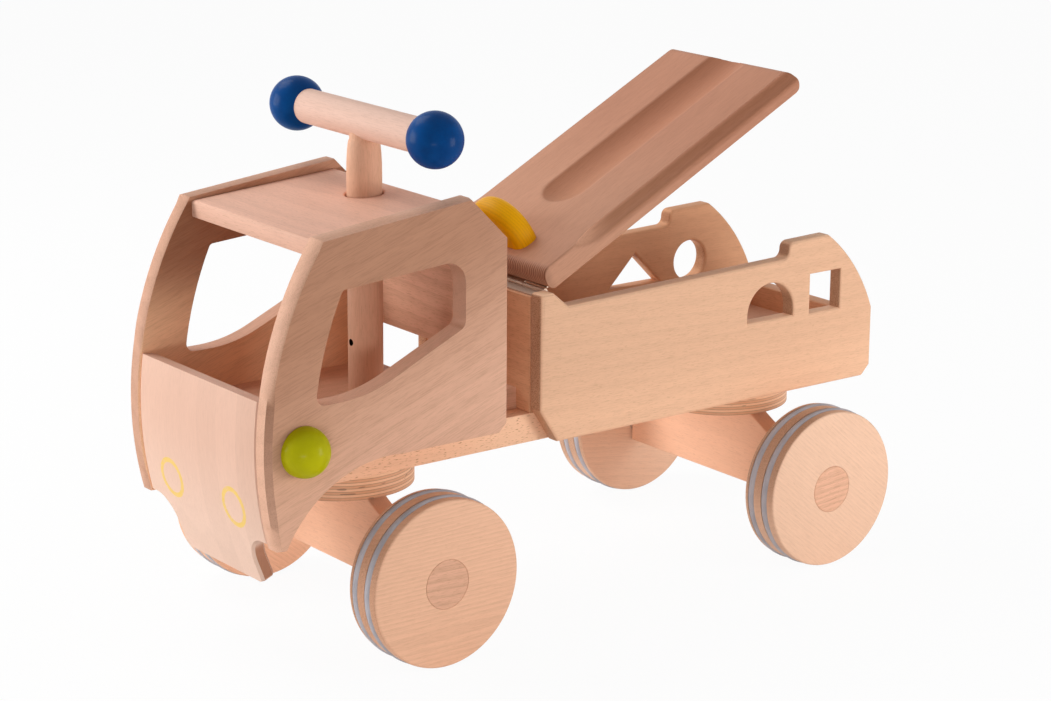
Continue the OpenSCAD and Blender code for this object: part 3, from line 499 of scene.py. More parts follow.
def cab_painted_shade(place):
    """Painted shade and light, with some of the board's own tone: the faces are darker and redder towards
    the upper front corner and paler low down and towards the rear; its bevels carry more painted shade, and
    its edges are pale but for the sawn rear of the window."""
    normal = normal_of(place)
    facing = normal.axis("Y").math("ABSOLUTE")
    sawn = normal.axis("X").step(0.3, 0.7) * (1 - place.axis("X").step(0.20, 0.22))
    # painted shade: darker towards the upper front corner and on the bevels, paler low down and towards the
    # rear
    high = (place.axis("X") * 0.8 + place.axis("Z") * 2.0).step(0.45, 0.80)
    bevel = facing.step(0.55, 0.65) * (1 - facing.step(0.75, 0.85))
    tone = (high * facing.step(0.3, 0.6)).blend(CAB_PAINTED_LIGHT, CAB_PAINTED_SHADE)
    return sawn.blend(tone, CAB_SAWN).times(bevel.blend(WHITE, CAB_BEVEL_SHADE))


def far_cab_painted_shade(place):
    """Painted light and shade as on the near board, but the inner face is painted pale low down, much
    browner in painted shade under the roof and lighter again above it, and the edges are a shade darker."""
    facing = normal_of(place).axis("Y")
    # painted shade on the inner face, deepest under the roof
    tone = place.axis("Z").step(0.235, 0.30).blend(FAR_PAINTED_LIGHT, FAR_PAINTED_SHADE)
    above_roof = place.axis("Z") + place.axis("X") * float(ROOF_TILT) - float(roof_line(0)) * MM
    above = above_roof.step(-0.00165, 0.00085)
    tone = facing.step(0.3, 0.6).blend(cab_painted_shade(place), above.blend(tone, FAR_ABOVE_ROOF_SHADE))
    return facing.math("ABSOLUTE").step(0.3, 0.6).blend(FAR_EDGE, tone)


cab_shade = rgb(216, 169, 142)
cab_look = dict(turn=(0, np.radians(-20), 0), streaks=0.45, flecks=0.1, ends=0.0)
near_look = dict(pith=(0.02, 0.5), ring=0.018, cast=cab_painted_shade)
far_look = dict(pith=(-0.05, 0.42), ring=0.016, start=(0.3, 0.1, 0.2), cast=far_cab_painted_shade)
cab_loops = [cab_outline, cab_window]
for side, low, high, edges, look in (
    ("left", CAB_IN, CAB_OUT, (CAB_EDGE_IN, CAB_EDGE_OUT), near_look),
    ("right", -CAB_OUT, -CAB_IN, (CAB_EDGE_OUT, CAB_EDGE_IN), far_look),
):
    cab_beech = beech("beech_cab_" + side, cab_shade, **cab_look, **look)
    cab_mesh = board_mesh(cab_loops, low, high, edges, standing_along, 1, (cab_ease, WINDOW_EASE))
    add_piece("cab_side_board_" + side, *cab_mesh, cab_beech, "frame", "cab_side_" + side)


# Roof: a beech board let in between the sides, sloping with them, with a round hole
# in which the steering column turns.

FIT = 0.1
CROSS_GRAIN = (0, 0, np.radians(90))
COLUMN_X, COLUMN_R = 160.3, 14.25
ROOF_REAR, ROOF_FRONT, ROOF_T, ROOF_HOLE_R = 131.0, 267.0, 14.0, 15.55
ROOF_EDGES = (2.2, 1.5)
ROOF_AHEAD = (0.87, 0.88, 0.88, 1)
cab_half = CAB_IN - FIT


def oblong(u0, v0, u1, v1):
    """The four corners of a rectangle."""
    return np.array([[u0, v0], [u1, v0], [u1, v1], [u0, v1]])


def full_round(centre, radius, points=48):
    """A closed circle of so many points."""
    return arc(centre, radius, 0, 360 - 360 / points, points - 1)


def under_roof_line(u, v, depth):
    """Outline in X and Y, thickness downwards from the roof line."""
    return np.stack([u, v, roof_line(u) - depth], 1) * MM


def roof_cast(place):
    """The front edge, sawn and oiled, is a shade darker than the planed top."""
    return normal_of(place).axis("X").step(0.6, 0.9).blend(WHITE, ROOF_AHEAD)


roof_loops = [oblong(ROOF_REAR, -cab_half, ROOF_FRONT, cab_half), full_round((COLUMN_X, 0), ROOF_HOLE_R)]
roof_mesh = board_mesh(roof_loops, 0, ROOF_T, ROOF_EDGES, under_roof_line)
roof_look = dict(turn=CROSS_GRAIN, pith=(0.1, 0.2), streaks=0.25, flecks=0.25, cast=roof_cast)
roof_beech = beech("beech_roof", rgb(238, 188, 164), **roof_look)
add_piece("cab_roof_board", *roof_mesh, roof_beech, "frame", "cab_roof")


# Front panel: staves glued up and bent to the curve of the sides, upright grain, the lower part drawn
# in by hollow shoulders to a tongue; two thin rings are painted on it as lamps.

UPRIGHT_GRAIN = (0, np.radians(90), 0)
PANEL_R, PANEL_T, PANEL_EDGE = 284.4, 12.0, 2.2
PANEL_TOP, SHOULDER, TONGUE = SKIRT + 58.5, SKIRT - 55.0, SKIRT - 98.5
TONGUE_HALF, SHOULDER_R, TONGUE_R = 57.5, 24.0, 4.0
PANEL_ROWS, PANEL_COLUMNS, FIRST_ROW = 30, 24, 3.0
STAVE = 0.029
foot = arc((TONGUE_HALF - TONGUE_R, TONGUE + TONGUE_R), TONGUE_R, -84, 0, 10)
hollow = arc((TONGUE_HALF + SHOULDER_R, SHOULDER - SHOULDER_R), SHOULDER_R, 180, 90, 14)
row_heights = np.linspace(SHOULDER + FIRST_ROW, PANEL_TOP, PANEL_ROWS)
upright = np.stack([np.full(PANEL_ROWS, cab_half), row_heights], 1)
panel_edge_line = joined(foot, hollow, [[cab_half, SHOULDER]], upright)


def panel_mesh():
    """A bevelled strip section, from one edge across to the other and back, carried up the arc:
    x = cx + (R - w) cos(f), z = cz + (R - w) sin(f), half width taken from the edge line."""
    half, height = panel_edge_line.T
    half = joined(half[:1], half, half[-1:] - PANEL_EDGE)
    height = joined(height[:1], height, height[-1:])
    span = np.linspace(-1, 1, PANEL_COLUMNS + 1)[1:-1]
    share = joined([-1, -1], span, [1, 1])
    shift = joined([0, PANEL_EDGE], 0 * span, [-PANEL_EDGE, 0])
    sink = joined([PANEL_EDGE, 0], 0 * span, [0, PANEL_EDGE])
    share, shift = joined(share, share[::-1]), joined(shift, shift[::-1])
    sink = joined(sink, PANEL_T - sink[::-1])
    y = half[:, None] * share[None] + shift[None]
    angle = np.arcsin((height - CROWN[1]) / PANEL_R)[:, None]
    radius = PANEL_R - sink[None]
    points = np.stack([CROWN[0] + radius * np.cos(angle), y, CROWN[1] + radius * np.sin(angle)], 2)
    rows, n = y.shape
    k = np.arange(n // 2 - 1)
    caps = np.stack([k, n - 1 - k, n - 2 - k, k + 1], 1)
    return points.reshape(-1, 3) * MM, [net_faces(rows, n), caps, (rows - 1) * n + caps[:, ::-1]]


LAMP_Y, LAMP_Z, LAMP_R, LAMP_LINE = 0.0464, 0.1300, 0.0148, 0.0021
LAMP_YELLOW = rgb(243, 205, 98)
PANEL_LOW_LIGHT, TONGUE_SIDE_SHADE = (1.06, 1.18, 1.24, 1), (0.72, 0.56, 0.46, 1)


def lamp_rings(place):
    """Two painted rings: the distance in Y and Z to the nearer centre, within half a line of the radius."""
    y = place.axis("Y").math("ABSOLUTE") - LAMP_Y
    z = place.axis("Z") - LAMP_Z
    off = ((y**2.0 + z**2.0) ** 0.5 - LAMP_R).math("ABSOLUTE")
    ring = 1 - off.step(LAMP_LINE * 0.75, LAMP_LINE * 1.2)
    ahead = place.axis("X").step(0.285, 0.29)
    patchy = place.noise(420).step(0.25, 0.55) * 0.4 + 0.48
    return ring * ahead * patchy, LAMP_YELLOW


def panel_painted_light_and_shade(place):
    """Painted light and shade: the bent staves are paler and less red towards the tongue, painted light from
    below, and the tongue's sawn sides are brown, painted shade.
    """
    side = normal_of(place).axis("Y").math("ABSOLUTE").step(0.75, 0.95)
    # painted shade on the tongue's sides and painted light towards its foot
    low = 1 - place.axis("Z").step(0.10, 0.112)
    tone = place.axis("Z").step(0.08, 0.20).blend(PANEL_LOW_LIGHT, WHITE)
    return (side * low).blend(tone, TONGUE_SIDE_SHADE)


panel_look = dict(turn=UPRIGHT_GRAIN, spread=0.07, pith=(0.0, 4.0), ring=0.02, streaks=0.3, flecks=0.05)
panel_marks = dict(staves=STAVE, mark=lamp_rings, cast=panel_painted_light_and_shade)
panel_beech = beech("beech_front_panel", rgb(228, 186, 164), **panel_look, **panel_marks)
add_piece("cab_front_curved_panel", *panel_mesh(), panel_beech, "frame", "cab_front_panel")


# Board behind the driver: beech with its grain across, let in between the sides and glued,
# its upper edge bevelled with the cab's rear corner.

BACK_X, BACK_T, BACK_LOW, BACK_GAP = 97.0, 12.0, SKIRT + 60.0, 1.5
SMALL_EDGES = (1.5, 1.5)
back_top = PEAK - REAR_CUT - BACK_GAP
back_outline = oblong(BACK_X, BACK_LOW, BACK_X + BACK_T, back_top)
back_outline[2, 1] += BACK_T
back_mesh = board_mesh([back_outline], -cab_half, cab_half, SMALL_EDGES, standing_along)
back_beech = beech("beech_back_board", rgb(212, 164, 136), turn=CROSS_GRAIN, pith=(0.1, 0.1), rings=0.35)
add_piece("cab_back_upright", *back_mesh, back_beech, "frame", "cab_back_board")


# Load box: two shaped sides with cut-outs for blocks, a front wall that carries the hinge
# and a low rear wall, all beech, the sides with lengthwise grain; glued and dowelled.

BOX_IN, BOX_OUT = 72.0, 86.5
BOX_FRONT, BOX_REAR, BOX_LOW = 48.8, -320.5, 141.0
BOX_EDGES = (2.6, 2.6)
EDGE_Z, EDGE_RISE, BUMP_Z, BUMP_L = 253.9, 6.4, 273.9, 46.5
HORN_Z, HORN_L, HORN_FALL = 266.8, 13.3, 15.5
NOSE_CUT_L, NOSE_CUT_H = 18.8, 29.0
STEP_X = BOX_REAR + 101
TAIL_H, TAIL_R, TAIL_CUT, TAIL_STEPS = 62.0, 155.0, 9.0, 10
horn_foot = BOX_FRONT - HORN_L - HORN_FALL
bump_end = np.array([STEP_X - BUMP_L, BUMP_Z + BUMP_L * EDGE_RISE / (horn_foot - STEP_X)])
tail_top = np.array([BOX_REAR, BOX_LOW + TAIL_H])


def bow(first, last, radius, steps):
    """The points between two ends of an arc that bulges to the right of the way from one to the other."""
    chord = last - first
    middle = (first + last) / 2
    left = np.array([-chord[1], chord[0]]) / np.linalg.norm(chord)
    centre = middle + left * np.sqrt(radius**2 - chord @ chord / 4)
    ends = np.stack([first, last]) - centre
    a, b = np.degrees(np.arctan2(ends[:, 1], ends[:, 0]))
    return arc(centre, radius, a, shorter_way(a, b), steps)[1:-1]


box_corners = joined(
    [
        [BOX_FRONT - NOSE_CUT_L, BOX_LOW],
        [BOX_FRONT, BOX_LOW + NOSE_CUT_H],
        [BOX_FRONT, HORN_Z],
        [BOX_FRONT - HORN_L, HORN_Z],
        [horn_foot, EDGE_Z],
        [STEP_X, EDGE_Z + EDGE_RISE],
        [STEP_X, BUMP_Z],
        bump_end,
    ],
    bow(bump_end, tail_top, TAIL_R, TAIL_STEPS),
    [tail_top, [BOX_REAR, BOX_LOW + TAIL_CUT], [BOX_REAR + TAIL_CUT, BOX_LOW]],
)
box_radii = [0, 4, 3, 3, 4, 6.5, 6.5, 4] + [0] * (TAIL_STEPS + 2)
box_outline = rounded(box_corners, box_radii)

HOLE_Z = BOX_LOW + 84
ARCH_HOLE_X, ARCH_HOLE_R, ARCH_HOLE_SIDE = BOX_REAR + 120.2, 25.7, 6.3
SQUARE_X, SQUARE_HALF = BOX_REAR + 57, 17.5
TRIANGLE_X, TRIANGLE_HALF = BOX_REAR + 140.7, 28.95
ROUND_X, ROUND_R = BOX_REAR + 76.3, 18.2
arch_hole_low = HOLE_Z - (ARCH_HOLE_R + ARCH_HOLE_SIDE) / 2
arch_hole = joined(
    [[ARCH_HOLE_X - ARCH_HOLE_R, arch_hole_low], [ARCH_HOLE_X + ARCH_HOLE_R, arch_hole_low]],
    arc((ARCH_HOLE_X, arch_hole_low + ARCH_HOLE_SIDE), ARCH_HOLE_R, 0, 180, 24),
)
square_hole = oblong(-1, -1, 1, 1) * SQUARE_HALF + [SQUARE_X, HOLE_Z]
triangle_hole = np.array([[-1, -0.5], [1, -0.5], [0, 0.5]]) * TRIANGLE_HALF + [TRIANGLE_X, HOLE_Z]
round_hole = full_round((ROUND_X, HOLE_Z), ROUND_R)
BOX_LOW_LIGHT, BOX_TOP_LIGHT = (1.09, 1.09, 1.09, 1), (1.28, 1.38, 1.42, 1)


def box_painted_light(place):
    """Painted light: the board is a little paler along its lower edge and paler still on its upward edges.
    """
    # painted light low down and on the upward edges
    upward = normal_of(place).axis("Z").step(0.5, 0.9)
    face = place.axis("Z").step(0.15, 0.20).blend(BOX_LOW_LIGHT, WHITE)
    return upward.blend(face, BOX_TOP_LIGHT)


box_look = dict(spread=0.09, ring=0.012, flecks=0.22, ends=1.0)
near_box = dict(shade=rgb(226, 180, 147), pith=(0.14, 0.1), cast=box_painted_light)
# the far side's darker, redder shade is painted shade for its inner face inside the box
far_box_shaded = dict(shade=rgb(219, 165, 127), pith=(0.2, 0.05), start=(0.4, 0.2, 0.1))
for side, low, high, holes, look in (
    ("left", BOX_IN, BOX_OUT, [arch_hole, square_hole], near_box),
    ("right", -BOX_OUT, -BOX_IN, [triangle_hole, round_hole], far_box_shaded),
):
    box_beech = beech("beech_box_" + side, **box_look, **look)
    box_mesh = board_mesh([box_outline, *holes], low, high, BOX_EDGES, standing_along)
    add_piece("box_side_board_" + side, *box_mesh, box_beech, "frame", "box_side_" + side)


def standing_across(u, v, depth):
    """Outline in Y and Z, thickness along X."""
    return np.stack([depth, u, v], 1) * MM


WALL_T = BOX_OUT - BOX_IN
FRONT_WALL_TOP, REAR_WALL_TOP, REAR_WALL_X = 263.0, 203.0, -306.0
wall_half = BOX_IN - FIT
wall_beech = beech("beech_box_walls", rgb(214, 160, 123), turn=CROSS_GRAIN, pith=(0.15, 0.1))
for name, x, top in (
    ("box_front_wall", BOX_FRONT - WALL_T, FRONT_WALL_TOP),
    ("box_rear_wall", REAR_WALL_X, REAR_WALL_TOP),
):
    wall_outline = oblong(-wall_half, SKIRT, wall_half, top)
    wall_mesh = board_mesh([wall_outline], x, x + WALL_T, SMALL_EDGES, standing_across)
    add_piece(name + "_board", *wall_mesh, wall_beech, "frame", name)


# Side knobs: round knobs turned from wood under a satin green lacquer, which lies a little
# unevenly over the turned grain; one is glued on each cab side.

SIDES = (("left", 1), ("right", -1))
KNOB_X, KNOB_Z, KNOB_R, KNOB_COLLAR, KNOB_EDGE = 289.0, 184.6, 20.0, 3.0, 1.2


def lacquer(name, colour, deep, rough, coat):
    """Lacquer over turned wood: slow and fine noise shift the colour a little; the coat is clear."""
    material, shader, place = new_finish(name)
    cloud = place.noise(45, 3)
    speck = place.noise(900)
    shade = (cloud.step(0.3, 0.7) * 0.6 + speck * 0.25).clamp().blend(colour, deep)
    relief = (cloud * 0.6 + speck * 0.4).bump(0.05, 0.0005)
    fill(shader, {"Base Color": shade, "Roughness": speck * 0.12 + rough, "Normal": relief})
    fill(shader, {"Coat Weight": coat, "Coat Roughness": 0.16, "Specular IOR Level": 0.03})
    return material


def lathe(profile, steps):
    """A closed surface of revolution: (r cos t, r sin t, h) for a profile of radii r and heights h that
    begins and ends on the axis, each end closed with a fan, or is a closed loop off the axis."""
    profile = np.asarray(profile, float)
    on_axis = profile[0, 0] < 1e-6
    rows = profile[1:-1] if on_axis else profile
    r, h = rows[:, :1], rows[:, 1:]
    angle = np.linspace(0, 2 * np.pi, steps, endpoint=False)
    points = np.stack([r * np.cos(angle), r * np.sin(angle), np.repeat(h, steps, 1)], 2).reshape(-1, 3)
    faces = [net_faces(len(rows), steps, not on_axis)]
    if on_axis:
        first = np.arange(steps)
        last = first + len(points) - steps
        tip = np.full(steps, len(points))
        faces.append(np.stack([tip, np.roll(first, -1), first], 1))
        faces.append(np.stack([tip + 1, last, np.roll(last, -1)], 1))
        points = joined(points, [[0, 0, profile[0, 1]], [0, 0, profile[-1, 1]]])
    return points, faces


def add_turned(name, profile, spot, sign, material, body, node, steps=96, heights=(0,)):
    """A turned piece with its axis along Y, its height running outwards on the side that sign gives,
    once for each of the heights."""
    points, faces = lathe(profile, steps)
    n = len(points)
    a, b, h = np.concatenate([points + [0, 0, height] for height in heights]).T
    faces = [f + k * n for k in range(len(heights)) for f in faces]
    x, y, z = spot
    add_piece(name, np.stack([x + a, y + sign * h, z + b], 1) * MM, faces, material, body, node)


green_lacquer = lacquer("green_lacquer", rgb(192, 188, 8), rgb(172, 166, 4), 0.42, 0.1)
knob_profile = joined(
    [[0, 0], [KNOB_R - KNOB_EDGE, 0], [KNOB_R, KNOB_EDGE]],
    arc((0, KNOB_COLLAR), KNOB_R, 0, 88, 20),
    [[0, KNOB_COLLAR + KNOB_R]],
)
for side, sign in SIDES:
    spot = (KNOB_X, sign * CAB_OUT, KNOB_Z)
    add_turned("cab_knob_" + side, knob_profile, spot, sign, green_lacquer, "frame", "side_knob_" + side)


# Steering: a beech dowel column that stands in the turning spacer, a cross dowel as handlebar
# and a ball under smooth blue lacquer on each end of it.

BAR_Z, BAR_MIDDLE, BAR_LET_IN = 407.7, 30.0, 14.0
BALL_Y, BALL_R = 96.8, 22.5
PILOT_Z, PILOT_R = SKIRT + 64.0, 2.75
PILOT_DARK = rgb(20, 9, 5)


def pilot_hole(place):
    """The inside of the small drilled hole in the column's front, nearly black in its own shade."""
    distance = (place.axis("Y") ** 2.0 + (place.axis("Z") - PILOT_Z * MM) ** 2.0) ** 0.5
    inside = 1 - distance.step(PILOT_R * MM * 1.01, PILOT_R * MM * 1.08)
    return inside * place.axis("X").step(0.160, 0.165), PILOT_DARK


dowel_look = dict(ring=0.006, rings=0.1, flecks=0.15)
column_look = dict(spread=0.1, turn=UPRIGHT_GRAIN, pith=(0.03, 0.05), mark=pilot_hole)
bar_look = dict(spread=0.08, turn=CROSS_GRAIN, pith=(0.02, 0.36))
column_beech = beech("beech_column", rgb(225, 178, 149), **dowel_look, **column_look)
bar_beech = beech("beech_handlebar", rgb(232, 194, 176), **dowel_look, **bar_look)
blue_lacquer = lacquer("blue_lacquer", rgb(0, 76, 145), rgb(0, 54, 112), 0.30, 0.08)
set_finish(node_object["steering_column"], column_beech)
bar_end = BALL_Y - BAR_LET_IN
bar_rows = [[COLUMN_R, h] for h in (-bar_end, -BAR_MIDDLE, BAR_MIDDLE, bar_end)]
bar_profile = [[0, -bar_end], *bar_rows, [0, bar_end]]
bar_spot = (COLUMN_X, 0, BAR_Z)
add_turned("handlebar_dowel", bar_profile, bar_spot, 1, bar_beech, "steering", "handlebar")
ball_profile = arc((0, 0), BALL_R, -90, 90, 40)
ball_profile[[0, -1], 0] = 0
for side, sign in SIDES:
    node = "handle_ball_" + side
    spot = (COLUMN_X, sign * BALL_Y, BAR_Z)
    add_turned("handle_ball_turned_" + side, ball_profile, spot, 1, blue_lacquer, "steering", node)


# Round spacers: birch plywood turned to a disc; the plies show as light and dark layers
# round the edge, with a dark glue line and small open gaps between them.

PLY_T = 0.0024
PLY_LINE, PLY_GAP = rgb(112, 68, 46), rgb(96, 58, 40)


def plywood(name, light, dark):
    """Layers by height: alternate plies light and dark, a thin brown line between them, fine fibres
    and dark gaps = the peaks of a noise that is drawn out level."""
    material, shader, place = new_finish(name)
    ply = place.axis("Z") / PLY_T + place.noise((30, 30, 6)) * 0.35
    layer = ply.math("FRACT")
    alternate = (ply * 0.5).math("FRACT").step(0.49, 0.51)
    line = (1 - layer.step(0.0, 0.16)) + layer.step(0.9, 1.0)
    fibre = place.noise((260, 260, 900), 3)
    gap = place.noise((70, 70, 420), 1).step(0.66, 0.72)
    colour = (alternate * 0.55 + fibre * 0.4).clamp().blend(light, dark)
    colour = (line * 0.72).clamp().blend(colour, PLY_LINE)
    colour = (gap * 0.5).blend(colour, PLY_GAP)
    relief = (layer * 0.4 + fibre * 0.4 - gap).bump(0.25, 0.0006)
    fill(shader, {"Base Color": colour, "Roughness": fibre * 0.2 + 0.42, "Normal": relief})
    return material


birch_ply = plywood("birch_plywood", rgb(252, 208, 168), rgb(216, 160, 122))
for name in ("front_disc", "rear_disc"):
    set_finish(node_object[name], birch_ply)


# Axle beams: upright beech boards across the truck, their upper corners cut down towards the wheels,
# screwed under the spacers; a steel rod runs through each.

FRONT_X, REAR_X, AXLE_Z = 186.0, -220.0, 69.0
BEAM_HALF, BEAM_TOP_HALF, BEAM_T = 111, 48, 18
BEAM_LOW, BEAM_SHOULDER, BEAM_TOP = 51, 84, 117
beam_outline = [
    [-BEAM_HALF, BEAM_LOW],
    [BEAM_HALF, BEAM_LOW],
    [BEAM_HALF, BEAM_SHOULDER],
    [BEAM_TOP_HALF, BEAM_TOP],
    [-BEAM_TOP_HALF, BEAM_TOP],
    [-BEAM_HALF, BEAM_SHOULDER],
]
beam_look = dict(spread=0.06, turn=CROSS_GRAIN, pith=(0.2, 0.3), ring=0.014, flecks=0.2)
beam_beech = beech("beech_beams", rgb(246, 196, 164), **beam_look)
for end, x, body in (("front", FRONT_X, "steering"), ("rear", REAR_X, "frame")):
    beam_mesh = board_mesh([beam_outline], x - BEAM_T / 2, x + BEAM_T / 2, SMALL_EDGES, standing_across)
    add_piece(end + "_axle_board", *beam_mesh, beam_beech, body, end + "_beam")


# Wheels: thick beech discs with two half-round grooves in the rim, each holding a grey rubber ring,
# and a darker plug glued flush over the axle's end.

WHEEL_R, WHEEL_T, WHEEL_Y = 68.0, 35.6, 113.0
WHEEL_STEPS, PLUG_STEPS = 128, 96
WHEEL_EDGE, WHEEL_BORE_R, RECESS = 1.8, 5.3, 15.0
RING_R, RING_PROUD, RING_SPREAD = 3.3, 1.0, 1.2
RING_PLACES = (7.6, 24.0)
GROOVE_R, GROOVE_GAP = 4.1, 0.1
PLUG_R, PLUG_T, PLUG_BEVEL, PLUG_GAP, PLUG_MOUTH = 20.0, 6.0, 0.35, 0.12, 0.45
ring_centre = WHEEL_R + RING_PROUD - RING_R
groove_centre = ring_centre - RING_R - GROOVE_GAP + GROOVE_R
groove_half = np.degrees(np.arccos((WHEEL_R - groove_centre) / GROOVE_R))
rim = WHEEL_R - WHEEL_EDGE
wheel_profile = joined(
    [[WHEEL_BORE_R, 0.0], [rim, 0.0]],
    arc((rim, WHEEL_EDGE), WHEEL_EDGE, -90, 0, 4)[1:],
    *[arc((groove_centre, h), GROOVE_R, -groove_half, -360 + groove_half, 20) for h in RING_PLACES],
    arc((rim, WHEEL_T - WHEEL_EDGE), WHEEL_EDGE, 0, 90, 4),
    [[PLUG_R + PLUG_MOUTH, WHEEL_T], [PLUG_R + PLUG_GAP, WHEEL_T - PLUG_BEVEL]],
    [[PLUG_R + PLUG_GAP, WHEEL_T - RECESS], [WHEEL_BORE_R, WHEEL_T - RECESS]],
)
ring_profile = full_round((ring_centre, 0), RING_R, 24) * [1, RING_SPREAD]
plug_profile = [
    [0, WHEEL_T - PLUG_T],
    [PLUG_R, WHEEL_T - PLUG_T],
    [PLUG_R, WHEEL_T - PLUG_BEVEL],
    [PLUG_R - PLUG_BEVEL, WHEEL_T],
    [0, WHEEL_T],
]


def rubber(name, grey, dusty):
    """Matt grey rubber cord with a faint dusty bloom and fine pitting."""
    material, shader, place = new_finish(name)
    dust = place.noise(60, 3)
    pit = place.noise(1800)
    colour = (dust.step(0.3, 0.7) * 0.7 + pit * 0.3).clamp().blend(grey, dusty)
    fill(shader, {"Base Color": colour, "Roughness": pit * 0.2 + 0.5, "Normal": pit.bump(0.12, 0.0004)})
    return material


grey_rubber = rubber("grey_rubber", rgb(168, 165, 172), rgb(196, 192, 198))
wheel_look = dict(spread=0.08, ring=0.0034, flecks=0.15, ends=0.7)
plug_look = dict(shade=rgb(226, 176, 147), pith=(0.3, 0.1), ring=0.0018, rings=0.4)
front_wheel = dict(shade=rgb(239, 189, 157), rings=0.4)
rear_wheel = dict(shade=rgb(233, 192, 164), rings=0.24)
for corner, x, sign, turn, plug_turn, end_look in (
    ("front_left", FRONT_X, 1, 0, 2, front_wheel),
    ("front_right", FRONT_X, -1, 40, 15, front_wheel),
    ("rear_left", REAR_X, 1, 40, -6, rear_wheel),
    ("rear_right", REAR_X, -1, 10, 70, rear_wheel),
):
    body = "wheel_" + corner
    lay = dict(turn=(0, np.radians(turn), 0), start=(0.01 * turn, 0, 0), pith=(sign * 0.16, 0.03))
    wheel_beech = beech("beech_" + body, **lay, **wheel_look, **end_look)
    plug_beech = beech("beech_plug_" + corner, turn=(0, np.radians(plug_turn), 0), **plug_look)
    for name, profile, finish, node, steps, heights in (
        ("disc", wheel_profile, wheel_beech, body, WHEEL_STEPS, (0,)),
        ("plug", plug_profile, plug_beech, "plug_" + corner, PLUG_STEPS, (0,)),
        ("rings", ring_profile, grey_rubber, "tyres_" + corner, WHEEL_STEPS, RING_PLACES),
    ):
        spot = (x, sign * WHEEL_Y, AXLE_Z)
        add_turned(f"wheel_{name}_{corner}", profile, spot, sign, finish, body, node, steps, heights)


# Seat lid: a thick beech board with a bull-nosed front end, a shallow hollow along its middle
# and hollowed long edges; it stands open on its hinge.

HINGE_X, HINGE_Z = 31.75, 264.6
LID_OPEN = np.radians(27.34)
LID_FRONT, LID_LIFT, LID_T, LID_L, LID_HALF = 1.5, 2.6, 20.8, 301.0, 81.0
NOSE_R, LID_EDGE, LID_EDGE_LOW = 9.0, 1.6, 2.5
SCOOP_HALF, SCOOP_DEPTH, SCOOP_START = 24.0, 4.4, 76.0
COVE_R, COVE_IN, COVE_DROP, COVE_START, COVE_RUN = 16.0, 7.0, 9.5, 40.0, 25.0
NOSE_STEPS, LID_ROWS, LID_COLUMNS, COVE_COLUMNS = 12, 170, 125, 19
lid_cos, lid_sin = np.cos(LID_OPEN), np.sin(LID_OPEN)


def on_lid(x, y, h):
    """From the lid's own axes, with the hinge pin at the origin and the board level, to the open lid."""
    return np.stack([HINGE_X + lid_cos * x + lid_sin * h, y, HINGE_Z - lid_sin * x + lid_cos * h], -1) * MM


cove_chord = np.hypot(COVE_IN, COVE_DROP)
cove_out = np.array([COVE_DROP, COVE_IN]) / cove_chord
lid_corner = np.array([LID_HALF, LID_T])
cove_middle = lid_corner - np.array([COVE_IN, COVE_DROP]) / 2
cove_axis = cove_middle + cove_out * np.sqrt(COVE_R**2 - cove_chord**2 / 4)
cove_lift = COVE_R - np.linalg.norm(cove_axis - lid_corner)
cove_sweep = (COVE_RUN**2 + cove_lift**2) / (2 * cove_lift)


def in_cove(s, y, h):
    """Whether a point lies in the round cutter that hollows the edge: its axis runs along the lid, and ahead
    of the run-out it follows an arc of the sweep's radius outwards, so there the cutter is a torus."""
    ahead = np.maximum(COVE_START + COVE_RUN - s, 0)
    u = (y - cove_axis[0]) * cove_out[0] + (h - cove_axis[1]) * cove_out[1]
    n = (h - cove_axis[1]) * cove_out[0] - (y - cove_axis[0]) * cove_out[1]
    return (np.hypot(ahead, u - cove_sweep) - cove_sweep) ** 2 + n**2 < COVE_R**2


def brink_of(test, low, high):
    """Halving: the value between low and high above which a test holds, or high where it never does."""
    low, high = low + 0 * high, high + 0 * low
    for _ in range(30):
        middle = (low + high) / 2
        inside = test(middle)
        low, high = np.where(inside, low, middle), np.where(inside, middle, high)
    return high


def round_off(distance, radius):
    """How far a rounded edge has fallen at a distance in from its end: r - sqrt(r^2 - (r - d)^2)."""
    return radius - np.sqrt(np.maximum(radius**2 - np.clip(radius - distance, 0, radius) ** 2, 0))


